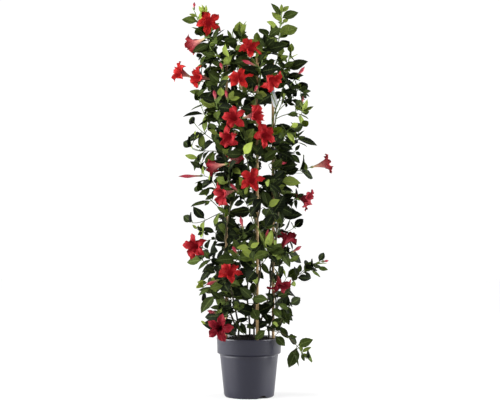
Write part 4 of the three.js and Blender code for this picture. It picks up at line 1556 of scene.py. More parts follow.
WHOLE_VIEW = Sheet(0, 0, 1)
SHEETS = tuple(Sheet(160, 100 * k, 1568 / 180) for k in range(4))
VIEW_MIDDLE = (250.0, 200.0)
VIEW_REACH = 1108.0  # from the eye to the view, in the view's own units
VIEW_UNIT = 3.25  # millimetres to one of those units, at the plant
VIEWER = (3.0, -3600.0, 490.0)
VIEWER_AIM = 633.6
THINNEST = 2.0

# Sprays as they are seen from the front, sheet by sheet: where the leaves spring from (across,
# down, and the depth in millimetres), then each tip (across and down), its width and its youth,
# whose low values paint a leaf in shade and high ones paint it lit.
SIGHTED = (
    (SHEETS[0], (
        ((395, 135, -30), ((335, 58, 30, 0.95), (372, 45, 28, 0.95), (405, 45, 28, 0.95),
            (428, 98, 22, 0.6))),
        ((335, 150, -25), ((255, 120, 38, 0.85),)),
        ((350, 265, -40), ((275, 235, 28, 0.6), (318, 178, 30, 0.2))),
        ((480, 325, -60), ((556, 258, 26, 0.12), (430, 345, 50, 0.1))),
        ((478, 385, -50), ((545, 312, 50, 0.3), (575, 375, 50, 0.35))),
        ((640, 350, -20), ((583, 262, 24, 0.55),)),
        ((690, 308, -40), ((695, 190, 95, 0.8), (745, 183, 16, 0.7), (680, 188, 10, 0.5))),
        ((690, 372, -50), ((768, 320, 48, 0.5),)),
        ((650, 435, -30), ((632, 345, 70, 0.1), (700, 400, 50, 0.1))),
        ((1060, 112, -10), ((1122, 50, 45, 0.8), (1058, 38, 30, 0.75), (1040, 72, 12, 0.8))),
        ((1067, 205, -10), ((1003, 108, 48, 0.75), (1117, 165, 52, 0.8))),
        ((1042, 322, -12), ((965, 213, 75, 0.4), (1118, 213, 70, 0.65))),
        ((1010, 420, -25), ((893, 290, 42, 0.75), (1124, 360, 55, 0.4))),
        ((1040, 395, -50), ((895, 468, 62, 0.65), (1062, 482, 60, 0.65))),
        ((930, 432, -30), ((915, 365, 36, 0.08),)),
        ((1130, 465, 0), ((1147, 383, 62, 0.6),)),
        ((1120, 520, 0), ((1200, 473, 22, 0.85),)),
        ((1072, 602, -20), ((1168, 530, 60, 0.5),)),
        ((1195, 745, 0), ((1252, 714, 30, 0.85), (1232, 772, 26, 0.8))),
        ((530, 852, -112), ((530, 765, 62, 0.8),)),
        ((395, 810, 0), ((258, 795, 22, 0.55),)),
        ((415, 850, 20), ((300, 855, 40, 0.08),)),
        ((560, 540, -70), ((682, 556, 36, 0.5),)),
        ((640, 475, -84), ((768, 435, 38, 0.5),)),
        ((500, 490, -60), ((365, 462, 50, 0.4), (372, 520, 40, 0.3))),
        ((430, 400, -72), ((478, 372, 34, 0.8),)),
        ((600, 868, -112), ((640, 795, 44, 0.75), (697, 850, 42, 0.85))),
        ((350, 568, -40), ((388, 482, 36, 0.55),)),
        ((1010, 520, -30), ((1068, 520, 60, 0.2), (930, 560, 60, 0.3))),
    )),
    (SHEETS[1], (
        ((405, 35, 0), ((266, 76, 24, 0.5),)),
        ((500, 152, -20), ((333, 222, 32, 0.3), (400, 110, 50, 0.45))),
        ((492, 220, -20), ((418, 238, 34, 0.35),)),
        ((500, 262, -30), ((465, 362, 75, 0.25),)),
    )),
    (WHOLE_VIEW, (
        ((200.4, 147.7, -8), ((203.4, 135.6, 6.6, 0.65), (195.1, 145.3, 1.5, 0.5))),
        ((195.4, 135.5, -8), ((195.1, 130.2, 1.9, 0.9),)),
        ((196.6, 138.4, -8), ((199.0, 134.9, 1.3, 0.8),)),
        ((192.6, 149.0, -8), ((191.2, 144.1, 2.2, 0.9),)),
        ((198.7, 157.6, -8), ((184.9, 155.7, 2.6, 0.75),)),
        ((206.0, 169.0, -30), ((213.4, 152.2, 9.5, 0.5),)),
    )),
    (SHEETS[1], (
        ((380, 588, 0), ((265, 540, 42, 0.12),)),
        ((420, 695, 0), ((303, 722, 22, 0.5),)),
        ((440, 770, 0), ((340, 826, 26, 0.4),)),
        ((475, 818, -10), ((398, 868, 28, 0.3),)),
        ((1205, 288, 0), ((1148, 188, 40, 0.2),)),
        ((1190, 330, 0), ((1262, 322, 24, 0.4), (1252, 258, 20, 0.4))),
        ((1205, 370, 0), ((1284, 400, 24, 0.3),)),
        ((1160, 382, 10), ((1108, 292, 48, 0.1),)),
        ((1285, 622, -5), ((1248, 537, 34, 0.7), (1337, 552, 40, 0.75), (1292, 538, 26, 0.8))),
        ((745, 765, -112), ((690, 672, 50, 0.85),)),
        ((760, 335, -118), ((842, 272, 46, 0.7), (718, 238, 24, 0.25))),
        ((1090, 640, -20), ((1105, 470, 115, 0.04), (1205, 600, 90, 0.04))),
        ((1000, 722, -20), ((1100, 672, 60, 0.04), (1130, 722, 50, 0.05))),
        ((1045, 440, -20), ((1032, 292, 55, 0.06), (1130, 400, 80, 0.05))),
        ((1210, 120, 0), ((1292, 168, 24, 0.5), (1112, 132, 50, 0.35))),
        ((1235, 112, -5), ((1335, 52, 40, 0.7), (1300, 100, 50, 0.4), (1225, 20, 30, 0.8),
            (1285, 0, 38, 0.8))),
        ((735, 832, -112), ((640, 772, 40, 0.55), (762, 758, 30, 0.8), (862, 842, 40, 0.2))),
        ((820, 492, -96), ((718, 430, 70, 0.05), (895, 380, 90, 0.06))),
        ((612, 470, -90), ((735, 415, 62, 0.2),)),
        ((892, 522, -90), ((1022, 442, 62, 0.3), (1000, 500, 50, 0.35))),
        ((565, 470, -50), ((490, 425, 64, 0.05),)),
        ((665, 612, -60), ((738, 520, 34, 0.2),)),
    )),
    (SHEETS[2], (
        ((440, 5, -10), ((385, 45, 30, 0.35),)),
        ((328, 256, 0), ((283, 215, 24, 0.85), (335, 222, 18, 0.85))),
        ((590, 112, -70), ((735, 70, 54, 0.22), (498, 60, 26, 0.5), (655, 148, 50, 0.06))),
        ((570, 182, -60), ((665, 232, 90, 0.04), (482, 262, 74, 0.05))),
        ((482, 285, -30), ((385, 245, 50, 0.06), (565, 362, 84, 0.04))),
        ((770, 272, -90), ((842, 205, 46, 0.22),)),
        ((1005, 235, -50), ((868, 185, 62, 0.3),)),
        ((905, 60, -80), ((925, 140, 56, 0.5),)),
        ((1030, 62, -20), ((1152, 112, 100, 0.06), (1060, 216, 84, 0.1))),
        ((920, 440, -104), ((850, 190, 44, 0.6), (975, 262, 44, 0.75), (1032, 395, 50, 0.4))),
        ((690, 452, -92), ((640, 340, 62, 0.4), (745, 350, 62, 0.35))),
        ((850, 452, -70), ((828, 282, 86, 0.05),)),
        ((445, 515, -10), ((328, 598, 46, 0.25),)),
        ((490, 640, -30), ((398, 590, 50, 0.06),)),
        ((422, 720, -30), ((323, 717, 36, 0.75),)),
        ((455, 755, -30), ((338, 820, 40, 0.4),)),
        ((535, 868, -60), ((450, 800, 60, 0.15),)),
        ((880, 532, -70), ((945, 645, 46, 0.35),)),
        ((828, 600, -60), ((902, 686, 56, 0.05),)),
        ((1110, 542, -20), ((1215, 488, 36, 0.6),)),
        ((1195, 650, -15), ((1150, 702, 60, 0.25),)),
        ((1212, 642, -15), ((1222, 560, 42, 0.3),)),
        ((1250, 632, -15), ((1328, 535, 72, 0.4),)),
        ((1312, 610, -15), ((1397, 672, 36, 0.5),)),
        ((1370, 590, -15), ((1460, 605, 46, 0.45),)),
        ((1350, 560, -15), ((1400, 535, 18, 0.75), (1450, 545, 16, 0.8))),
        ((560, 742, -90), ((435, 772, 50, 0.55),)),
        ((705, 792, -90), ((602, 722, 62, 0.15), (760, 742, 40, 0.2))),
        ((1002, 850, -40), ((920, 815, 42, 0.08),)),
        ((430, 512, -20), ((532, 562, 64, 0.05),)),
        ((600, 492, -90), ((692, 502, 52, 0.3),)),
    )),
    (SHEETS[3], (
        ((540, 62, -90), ((443, 62, 40, 0.2), (500, 112, 46, 0.65))),
        ((400, 212, -70), ((355, 182, 24, 0.85),)),
        ((802, 72, -92), ((852, 172, 95, 0.28),)),
        ((1062, 152, -80), ((985, 75, 72, 0.5),)),
        ((1062, 62, -40), ((1150, 132, 80, 0.25), (1122, 215, 72, 0.25))),
        ((1072, 12, -30), ((1170, 38, 28, 0.25),)),
        ((1000, 312, -72), ((1090, 395, 76, 0.25),)),
        ((1050, 222, -60), ((1112, 332, 62, 0.15),)),
        ((1110, 312, -60), ((1195, 322, 24, 0.5),)),
        ((1230, 462, -76), ((1225, 378, 38, 0.65), (1315, 405, 38, 0.75), (1258, 530, 32, 0.3),
            (1305, 498, 20, 0.6))),
        ((1160, 455, -76), ((1210, 575, 32, 0.2),)),
        ((925, 256, -84), ((825, 345, 70, 0.4),)),
        ((700, 182, -60), ((752, 300, 46, 0.12),)),
        ((650, 172, -50), ((722, 300, 42, 0.25),)),
        ((965, 206, -50), ((908, 180, 28, 0.08),)),
        ((690, 70, -90), ((650, 10, 40, 0.55), (735, 40, 44, 0.5), (640, 60, 40, 0.6))),
    )),
)


def on_plant(view: Pair, depth: float) -> tuple[int, int]:
    """The x and z, in whole millimetres, of what is seen on the whole view at a depth.

    Args:
        view: Its place on the view, across and down.
        depth: Its y.

    Returns:
        Its x and its z.
    """
    pitch = math.atan((VIEWER_AIM - VIEWER[2]) / -VIEWER[1])
    right, up = (view[0] - VIEW_MIDDLE[0]) / VIEW_REACH, (VIEW_MIDDLE[1] - view[1]) / VIEW_REACH
    ahead = math.cos(pitch) - up * math.sin(pitch)
    rise = math.sin(pitch) + up * math.cos(pitch)
    way = (depth - VIEWER[1]) / ahead
    return round(VIEWER[0] + right * way), round(VIEWER[2] + rise * way)


def sighted_sprays() -> Iterable[tuple[Triple, list[tuple[float, ...]]]]:
    """The sighted sprays in millimetres, in the form of SPRAYS."""
    for sheet, rows in SIGHTED:
        for (across, down, depth), tips in rows:
            x, z = on_plant(sheet.seen(across, down), depth)
            yield (x, depth, z), [
                (
                    *on_plant(sheet.seen(tip_across, tip_down), depth),
                    round(max(THINNEST, width / sheet.zoom * VIEW_UNIT)),
                    youth,
                )
                for tip_across, tip_down, width, youth in tips
            ]


LEAF_ROOM = 8.0  # from a leaf to the next, high on the plant
LOW_ROOM = 4.5  # how much more of it there is low on the plant
FROM_BEHIND = 155  # a bloom turned further than this stands behind the leaves
POT_TOP, POT_REACH = 215.0, 112.0  # what grows from the pot keeps above or outside these


def from_front(points: np.ndarray) -> np.ndarray:
    """Where points are seen, from the front, on the plane of the canes: x and z."""
    share = VIEWER[1] / (VIEWER[1] - points[:, 1:2])
    eye = np.array([VIEWER[0], VIEWER[2]])
    return eye + (points[:, [0, 2]] - eye) * share


class Foliage:
    """All the leaves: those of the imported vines, and the smaller ones between them."""

    # Along a stem: where its first leaves stand, and how far on the next ones do.
    ON_STEM, ON_SHOOT, SPRIGS = (82.0, 52.0), (20.0, 30.0), (88.0, 76.0)
    SPRIG_BARE, SPRIG_GAP = 14.0, 22.0  # a sprig's leaves, from its tip back
    SPRIG_REACH = (40, 85)
    LOWEST = 212
    LENGTHS = (50, 66)
    TURNS = (0, 32, -32, 64, -64, 96, -96, 130)  # tried in this order for a leaf

    def __init__(self, plan: Plan, nodes: dict[str, Object]) -> None:
        """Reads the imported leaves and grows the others.

        Args:
            plan: The stems.
            nodes: The CAD nodes.
        """
        self.plan = plan
        self.dice = np.random.default_rng(SEED)
        self.leaves: dict[str, list[Leaf]] = {}
        self.taken = np.empty((0, 3))
        for name in plan.lines:
            read = LeafReader(nodes[name]).leaves()
            for leaf in read:
                leaf.youth = self.youth_and_light_at(leaf, name)
                leaf.wave = float(self.dice.uniform(-1.6, 1.6))
            self.leaves[name] = read
            for leaf in read:
                self.taken = np.vstack([self.taken, leaf.samples()])
            log.info("%s: %d leaves read", name, len(read))
        low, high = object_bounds()
        self.low, self.high = np.array(low) / MM, np.array(high) / MM
        for foot, tips in (*SPRAYS, *sighted_sprays()):
            self.lay_spray(np.array(foot, float), tips)
        for name in plan.lines:
            before = len(self.leaves[name])
            self.grow(name)
            log.info("%s: %d leaves added", name, len(self.leaves[name]) - before)

    def lay_spray(self, foot: np.ndarray, tips: Sequence[tuple[float, ...]]) -> None:
        """Adds a twig from the nearest stem, and the leaves at its end.

        Args:
            foot: Where the leaves spring from.
            tips: The x and z of each tip, with the leaf's width and youth.
        """
        found = []
        for name in self.plan.lines:
            for line in self.plan.lines_of(name):
                rise = 40.0 if foot[2] < POT_TOP else -6.0
                below = line.points[line.points[:, 2] < foot[2] + rise]
                clear = (below[:, 2] > POT_TOP) | (np.hypot(below[:, 0], below[:, 1]) > POT_REACH)
                below = below[clear]
                if len(below):
                    apart = np.linalg.norm(below - foot, axis=1)
                    found.append((float(apart.min()), name, below[apart.argmin()]))
        _, name, start = min(found, key=lambda item: item[0])
        middle = np.mean([[tip[0], foot[1], tip[1]] for tip in tips], axis=0)
        ending = unit(unit(foot - start + UP * 4) + unit(middle - foot) * 0.4)
        way = Line(shoot_points(start, foot, ending), TWIG_STEP)
        self.plan.shoots.append(Shoot(name, way, 1.2, 0.9))
        for x, z, width, youth in tips:
            reach = np.array([x, foot[1] + self.dice.uniform(-9, 5), z]) - foot
            length = float(np.linalg.norm(reach))
            along = reach / length
            real = max(width, 0.42 * length)
            lean = math.acos(min(1.0, width / real)) * self.dice.choice((-1, 1))
            above = AHEAD + UP * 0.35 + self.dice.normal(0, 0.18, 3)
            above = turned_about(unit(above - along * (above @ along)), along, lean)
            leaf = Leaf(
                foot, along, above, length * 1.02, real, length * self.dice.uniform(0.02, 0.14),
                self.dice.uniform(0.08, 0.3), self.dice.uniform(-1.0, 1.0) * min(1.0, length / 40), youth,
            )
            if not self.in_tube(leaf.samples()):
                self.leaves[name].append(leaf)
                self.taken = np.vstack([self.taken, leaf.samples()])

    def youth_and_light_at(self, leaf: Leaf, name: str) -> float:
        """How young a leaf is and how lit it is painted, from 0 to 1, by where it stands on the plant:
        young near the tips of its stems, painted lit at the front, outside and top, left in painted shade
        further in and lower down.

        Args:
            leaf: The leaf.
            name: Its vine.

        Returns:
            Its youth, with its painted light and shade.
        """
        best = min(line.nearest(leaf.root)[:2] for line in self.plan.lines_of(name))
        tipness = max(0.0, best[1] - 0.55) / 0.45
        middle = leaf.place(np.array([0.6]), np.array([0.0]))[0]
        front = np.clip((-middle[1] - 20) / 110, -0.3, 1)
        outer = np.clip((math.hypot(middle[0], middle[1]) - 70) / 110, 0, 1)
        high = np.clip((middle[2] - 1050) / 180, 0, 1)
        # Tipness is the leaf's real age; the front, outer and high terms paint light where it falls on the
        # plant, and leaves further in and lower down stay in painted shade.
        youth = 0.05 + 0.22 * tipness + (0.05 + 0.1 * high) * front + 0.1 * outer + 0.4 * high
        kind = self.dice.choice((-0.25, 0.08, 0.45), p=(0.56, 0.25, 0.19))
        return float(np.clip(youth + kind + self.dice.normal(0, 0.07), 0, 0.95))

    def outside(self, samples: np.ndarray) -> bool:
        """Whether a leaf would stand outside the plant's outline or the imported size."""
        if (samples < self.low + 1).any() or (samples > self.high - 1).any():
            return True
        heights, left, right = (np.array(column, float) for column in zip(*OUTLINE))
        x, z = from_front(samples).T
        low, high = np.interp(z, heights, left), np.interp(z, heights, right)
        if (x < low).any() or (x > high).any() or (samples[:, 2] < self.LOWEST).any():
            return True
        if self.in_gap(samples):
            return True
        left, right, foot, top = LABEL_SPACE
        ahead = samples[:, 1] < 10
        return bool((ahead & (x > left) & (x < right) & (z > foot) & (z < top)).any())

    @staticmethod
    def in_gap(points: np.ndarray) -> bool:
        """Whether any of these points would be seen in an open space."""
        x, z = from_front(points).T
        return any(
            ((x > left) & (x < right) & (z > foot) & (z < top)).any()
            for left, right, foot, top in OPEN_SPACES
        )

    def in_tube(self, samples: np.ndarray) -> bool:
        """Whether a leaf would cross the tube of a bloom."""
        for _, _, at, turn, lift, _ in BLOOMS:
            direction = looking(turn, lift)
            behind = samples - np.array(at, float)
            along = np.clip(behind @ direction, -TUBE, 2)
            if (np.linalg.norm(behind - np.outer(along, direction), axis=1) < TUBE_ROOM).any():
                return True
        return False

    def hides_bloom(self, samples: np.ndarray) -> bool:
        """Whether a leaf would stand in front of an open bloom."""
        for _, _, at, turn, _, share in BLOOMS:
            if abs(turn) > FROM_BEHIND:
                continue
            apart = np.hypot(samples[:, 0] - at[0], samples[:, 2] - at[2])
            if ((apart < SPREAD * share * 0.85) & (samples[:, 1] < at[1] + 8)).any():
                return True
        return False

    def crowded(self, samples: np.ndarray, room: float) -> bool:
        """Whether a leaf would come within room of another."""
        apart = np.linalg.norm(self.taken[:, None] - samples[None], axis=2)
        return bool(apart.min() < room)

    def grow(self, name: str) -> None:
        """Adds pairs of leaves along a vine's stem and shoots wherever they have room."""
        lines = self.plan.lines_of(name)
        for number, line in enumerate(lines):
            first, gap = self.ON_STEM if number == 0 else self.ON_SHOOT
            for k, along in enumerate(np.arange(first, line.length * 0.99, gap)):
                share = float(along / line.length)
                self.add_pair(name, line, share, k % 2, number == 0)
        main = lines[0]
        first, gap = self.SPRIGS
        for along in np.arange(first, main.length * 0.97, gap):
            self.add_sprig(name, main, float(along / main.length))

    def add_sprig(self, name: str, line: Line, share: float) -> None:
        """Adds a short leafy shoot to a main stem, where at least two leaves find room.

        Args:
            name: The vine.
            line: Its main stem.
            share: Where on it.
        """
        root, tangent = line.at(share)
        side, top = axes_of(tangent)
        angle = self.dice.uniform(0, math.tau)
        reach = self.dice.uniform(*self.SPRIG_REACH)
        out = side * math.cos(angle) + top * math.sin(angle)
        end = root + out * reach + UP * reach * self.dice.uniform(0.1, 0.6)
        way = Line(shoot_points(root, end, unit(unit(end - root) + UP * 0.5)), TWIG_STEP)
        if self.in_gap(way.points):
            return
        count = len(self.leaves[name])
        for k, along in enumerate(np.arange(way.length * 0.98, self.SPRIG_BARE, -self.SPRIG_GAP)):
            self.add_pair(name, way, float(along / way.length), k % 2, False)
        if len(self.leaves[name]) > count + 1:
            self.plan.shoots.append(Shoot(name, way, 1.2, 0.8))
        else:
            del self.leaves[name][count:]

    def add_pair(self, name: str, line: Line, share: float, quarter: int, main: bool) -> None:
        """Adds up to two opposite leaves.

        Args:
            name: The vine.
            line: The stem or shoot.
            share: Where on it.
            quarter: Which way the pair looks.
            main: Whether it stands on the main stem.
        """
        root, tangent = line.at(share)
        side, top = axes_of(tangent)
        angle = quarter * math.pi / 2 + self.dice.uniform(-0.6, 0.6)
        sideways = side * math.cos(angle) + top * math.sin(angle)
        size = self.dice.uniform(*self.LENGTHS) * (1.0 if main else 1.05 - 0.35 * share)
        for way in (sideways, -sideways):
            self.try_leaf(name, root, tangent, way, size * self.dice.uniform(0.88, 1.1))

    def try_leaf(
        self, name: str, root: np.ndarray, tangent: np.ndarray, sideways: np.ndarray, size: float
    ) -> None:
        """Adds one leaf in the first of a few turns that has room.

        Args:
            name: The vine.
            root: The leaf's place on its stem.
            tangent: The stem's direction there.
            sideways: The side of the stem that it leaves.
            size: Its length.
        """
        outward = np.array([root[0], root[1] - 30, 0.0])
        outward = unit(outward) if np.linalg.norm(outward) > 20 else AHEAD
        lift = self.dice.uniform(-0.35, 0.45)
        frontness = 0.5 * float(np.clip((60 - root[1]) / 60, 0, 1))
        shake = self.dice.normal(0, 0.22, 3)
        for turn in self.TURNS:
            way = turned_about(sideways, tangent, math.radians(turn))
            along = unit(way + tangent * 0.3 + outward * 0.35 + UP * lift)
            normal = outward * 0.6 + AHEAD * frontness + UP * 0.45 + shake
            normal = normal - along * (normal @ along)
            if normal @ normal < 0.02:
                normal = np.cross(along, tangent)
            for scale in (1.0, 0.8):
                length = size * scale
                leaf = Leaf(
                    root, along, unit(normal), length, length * self.dice.uniform(0.45, 0.57),
                    length * self.dice.uniform(0.05, 0.26), self.dice.uniform(0.06, 0.3),
                    self.dice.uniform(-1.8, 1.8),
                )
                samples = leaf.samples()
                if self.outside(samples) or self.hides_bloom(samples) or self.in_tube(samples):
                    continue
                low = float(np.clip((740 - root[2]) / 200, 0, 1))
                if self.crowded(samples, LEAF_ROOM + LOW_ROOM * low):
                    continue
                leaf.youth = self.youth_and_light_at(leaf, name)
                self.leaves[name].append(leaf)
                self.taken = np.vstack([self.taken, samples])
                return


@dataclass
class Vine:
    """One vine: its stem, its shoots, the stalks of its leaves and the leaves."""

    name: str
    plan: Plan
    leaves: list[Leaf]
    foot_radius: float = 3.1
    tip_radius: float = 1.5

    def tubes(self, name: str, ways: Iterable[tuple[np.ndarray, np.ndarray]]) -> Object:
        """Round stems along ways.

        Args:
            name: The object's name.
            ways: Points and radii, in millimetres, of each.

        Returns:
            A mesh object.
        """
        curve = bpy.data.curves.new(name, "CURVE")
        curve.dimensions = "3D"
        curve.bevel_depth = 1.0
        curve.bevel_resolution = 1
        curve.use_fill_caps = True
        curve.twist_mode = "MINIMUM"
        for points, radii in ways:
            spline = curve.splines.new("POLY")
            spline.points.add(len(points) - 1)
            flat = np.hstack([points * MM, np.ones((len(points), 1))])
            spline.points.foreach_set("co", flat.ravel())
            spline.points.foreach_set("radius", np.asarray(radii, float) * MM)
        obj = bpy.data.objects.new(name, curve)
        bpy.context.scene.collection.objects.link(obj)
        pick(obj)
        bpy.ops.object.convert(target="MESH")
        return bpy.context.active_object

    def stem(self) -> Object:
        """The main stem, thicker and thinner by turns along its length."""
        line = self.plan.lines[self.name]
        share = np.linspace(0, 1, len(line.points))
        radii = self.foot_radius + (self.tip_radius - self.foot_radius) * share
        radii *= 1 + 0.09 * np.sin(share * line.length / 46 * math.tau)
        stem = self.tubes(f"{self.name}_stem", [(line.points, radii)])
        height = points_of(stem)[:, 2] / MM
        note(stem, "youth", np.clip(0.05 + (height - 260) / 1100, 0, 0.85))
        return stem

    def shoots(self) -> Object:
        """The side shoots."""
        ways = []
        for shoot in self.plan.shoots:
            if shoot.stem == self.name:
                points = shoot.line.points
                apart, _, start = self.plan.lines[self.name].nearest(points[0])
                if apart < self.foot_radius * 2:
                    points = np.vstack([start, points])
                radii = np.linspace(shoot.foot_radius, shoot.tip_radius, len(points))
                ways.append((points, radii))
        shoots = self.tubes(f"{self.name}_shoots", ways)
        height = points_of(shoots)[:, 2] / MM
        note(shoots, "youth", np.clip(0.5 + (height - 500) / 1800, 0.35, 0.95))
        return shoots

    def sepals(self) -> Object:
        """Five small pointed sepals at the end of each shoot that bears a flower."""
        ways = []
        for shoot in self.plan.shoots:
            if shoot.stem == self.name and shoot.bears_flower:
                end, direction = shoot.line.at(1.0)
                sideways, top = axes_of(direction)
                for k in range(5):
                    turn = k / 5 * math.tau
                    out = sideways * math.cos(turn) + top * math.sin(turn)
                    steps = np.array([[-1.5, 0.6], [1.5, 2.4], [4.5, 3.3], [8.0, 4.3]])
                    points = end + np.outer(steps[:, 0], direction) + np.outer(steps[:, 1], out)
                    ways.append((points, np.array([0.9, 1.2, 0.8, 0.12])))
        sepals = self.tubes(f"{self.name}_sepals", ways)
        note(sepals, "youth", 0.8)
        return sepals

    def stalks(self) -> Object:
        """The stalk of each leaf, from its stem to its blade, where it becomes the rib."""
        lines = self.plan.lines_of(self.name)
        ways = []
        for leaf in self.leaves:
            foot = min((line.nearest(leaf.root) for line in lines), key=lambda found: found[0])[2]
            u = np.array([0.05, 0.11, 0.3, 0.62])
            rib = leaf.place(u, np.zeros(4)) - leaf.above * 0.35
            radii = np.array([1.0, 0.9, 0.85, 0.65, 0.3]) * (leaf.length / 60) ** 0.5
            ways.append((np.vstack([foot, rib]), radii))
        stalks = self.tubes(f"{self.name}_stalks", ways)
        note(stalks, "youth", 0.72)
        return stalks

    def blades(self, blank: LeafBlank) -> Object:
        """The blades, joined and given their thickness."""
        sheets = [blank.bent(leaf, f"{self.name}_leaf_{k}") for k, leaf in enumerate(self.leaves)]
        blades = join(*sheets)
        pick(blades)
        bpy.ops.object.mode_set(mode="EDIT")
        bpy.ops.mesh.select_all(action="SELECT")
        bpy.ops.mesh.remove_doubles(threshold=1e-6)
        bpy.ops.mesh.select_all(action="DESELECT")
        bpy.ops.object.mode_set(mode="OBJECT")
        dress(blades, LeafUpper().material(), LeafUnder().material())
        apply(blades, "SOLIDIFY", thickness=0.6 * MM, offset=-1.0, material_offset=1)
        smooth(blades, 45.0)
        return blades

    def build(self, blank: LeafBlank) -> None:
        """Makes the vine."""
        blades = self.blades(blank)
        parts = [self.stem(), self.shoots(), self.stalks()]
        if any(shoot.stem == self.name and shoot.bears_flower for shoot in self.plan.shoots):
            parts.append(self.sepals())
        wood = join(*parts)
        smooth(wood, 50.0)
        dress(wood, StemSkin().material())
        vine = join(blades, wood)
        vine.name = f"{self.name}_foliage"
        hand_over(vine, Slot.FOLIAGE, self.name)


# --- Blooms and buds ---


class RingBlank:
    """An open stack of equal rings, from which blooms and buds are formed."""

    def __init__(self, name: str, sides: int, rings: int) -> None:
        """Makes the stack.

        Args:
            name: The object's name.
            sides: Points in a ring.
            rings: How many rings.
        """
        deselect()
        bpy.ops.mesh.primitive_circle_add(vertices=sides, radius=1.0)
        self.stack = bpy.context.active_object
        self.stack.name = name
        bpy.ops.object.mode_set(mode="EDIT")
        for _ in range(rings - 1):
            bpy.ops.mesh.extrude_edges_move(TRANSFORM_OT_translate={"value": (0, 0, 1)})
        bpy.ops.object.mode_set(mode="OBJECT")
        points = points_of(self.stack)
        self.ring = np.rint(points[:, 2]).astype(int)
        self.turn = np.mod(np.arctan2(points[:, 1], points[:, 0]), math.tau)

    def formed(self, name: str, form: Callable[[np.ndarray, np.ndarray], np.ndarray]) -> Object:
        """A copy of the stack in a form of its own.

        Args:
            name: The copy's name.
            form: Gives the points, in millimetres, for rings and turns.

        Returns:
            The copy.
        """
        obj = copy_of(self.stack, name)
        move_points(obj, form(self.ring, self.turn) * MM)
        return obj


@dataclass
class Bloom:
    """An open trumpet flower with five broad, pointed, twisted lobes."""

    number: int
    at: Triple
    turn: float
    lift: float
    share: float
    shade: float

    SIDES = 80
    # Rings of the tube: radius and depth behind the face, in millimetres.
    TUBE_RINGS = (
        (1.1, -53.9), (2.0, -52.5), (2.3, -46), (3.0, -39), (4.5, -31.5), (6.4, -24.5), (8.4, -18),
        (10.4, -12),
    )
    # Rings of the limb, as shares of the way from the mouth to the lobes' edge.
    LIMB_RINGS = (0.0, 0.16, 0.34, 0.54, 0.74, 0.9, 1.0)
    # A lobe's edge: degrees from its notch, and its share of the spread.
    EDGE = (
        (0, 0.46), (4.5, 0.61), (9, 0.72), (13.5, 0.80), (18, 0.86), (22.5, 0.91), (27, 0.95),
        (31.5, 0.99), (36, 1.05), (40.5, 1.14), (45, 1.05), (49.5, 0.98), (54, 0.93),
        (58.5, 0.86), (63, 0.76), (67.5, 0.63), (72, 0.46),
    )

    def form(self, ring: np.ndarray, turn: np.ndarray) -> np.ndarray:
        """Where the bloom's points are."""
        dice = np.random.default_rng(SEED + self.number)
        phases = dice.uniform(0, math.tau, 5)
        aside = 40 < abs(self.turn) < 140
        droop = dice.uniform(-13.0, 4.0, 5) * (0.35 if aside else 1.0)
        curl = dice.uniform(0.9, 2.0, 5) * (0.5 if aside else 1.0)
        size = dice.uniform(0.9, 1.04, 5)
        reach = SPREAD * self.share
        tube = len(self.TUBE_RINGS)
        degrees = np.degrees(turn)
        within = np.mod(degrees, 72)
        lobe = (degrees // 72).astype(int) % 5
        edge = np.interp(within, *zip(*self.EDGE)) * reach
        edge *= 1 + (size[lobe] - 1) * np.sin(np.radians(within * 2.5))
        if aside:
            edge = np.maximum(edge, 0.68 * reach)
        flat = np.clip(ring - tube, 0, len(self.LIMB_RINGS) - 1)
        t = np.array(self.LIMB_RINGS)[flat]
        mouth = 11.8
        radius = mouth + (edge - mouth) * t
        side = (within - 36) / 36
        depth = -9.0 + 11.0 * np.sin(np.clip(t * 1.35, 0, 1) * math.pi / 2) + t * (8 if aside else 0)
        depth += curl[lobe] * t * side * -4.6
        depth += 3.2 * t**2 * np.sin(side * 6.5 + phases[lobe])
        depth += 1.6 * t**3 * np.sin(side * 15.0 + phases[lobe] * 3)
        depth += droop[lobe] * t**2 * np.sin(np.radians(within * 2.5)) ** 0.5
        depth -= 6.0 * t**3 * np.exp(-((within - 40) ** 2) / 110)
        k = np.clip(ring, 0, tube - 1)
        inner = np.array(self.TUBE_RINGS)[k]
        in_tube = ring < tube
        flute = 1 + 0.06 * np.cos(np.radians(within * 5)) * (inner[:, 1] > -24)
        radius = np.where(in_tube, inner[:, 0] * flute, radius)
        depth = np.where(in_tube, inner[:, 1], depth)
        angle = turn + math.radians(self.number * 29) + np.where(in_tube, 0, t * 0.05)
        direction = looking(self.turn, self.lift)
        sideways, top = axes_of(direction)
        return (
            np.array(self.at)
            + np.outer(np.cos(angle) * radius, sideways)
            + np.outer(np.sin(angle) * radius, top)
            + np.outer(depth, direction)
        )

    def build(self, blank: RingBlank) -> None:
        """Makes the bloom."""
        node = f"bloom_{self.number + 1:02d}"
        bloom = blank.formed(f"{node}_flower", self.form)
        tube, limb = len(self.TUBE_RINGS), len(self.LIMB_RINGS)
        reach = np.interp(blank.ring, [0, tube, tube + limb - 1], [0, 0.45, 1])
        note(bloom, "reach", reach)
        note(bloom, "turn", np.mod(blank.turn / math.tau * 5, 1))
        note(bloom, "shade", self.shade)
        self.close_foot(bloom)
        dress(bloom, PETAL_FACE.material(), PETAL_BACK.material())
        apply(bloom, "SOLIDIFY", thickness=0.7 * MM, offset=-1.0, material_offset=1, material_offset_rim=0)
        smooth(bloom, 50.0)
        hand_over(bloom, Slot.PETAL, node)

    def close_foot(self, bloom: Object) -> None:
        """Closes the foot of the tube and turns the faces to the front."""
        mesh = bmesh.new()
        mesh.from_mesh(bloom.data)
        foot = [e for e in mesh.edges if e.is_boundary and all(v.index < self.SIDES for v in e.verts)]
        bmesh.ops.contextual_create(mesh, geom=foot)
        bmesh.ops.recalc_face_normals(mesh, faces=mesh.faces)
        direction = Vector(looking(self.turn, self.lift))
        facing = sum(face.normal.dot(direction) * face.calc_area() for face in mesh.faces)
        if facing < 0:
            bmesh.ops.reverse_faces(mesh, faces=mesh.faces)
        mesh.to_mesh(bloom.data)
        mesh.free()


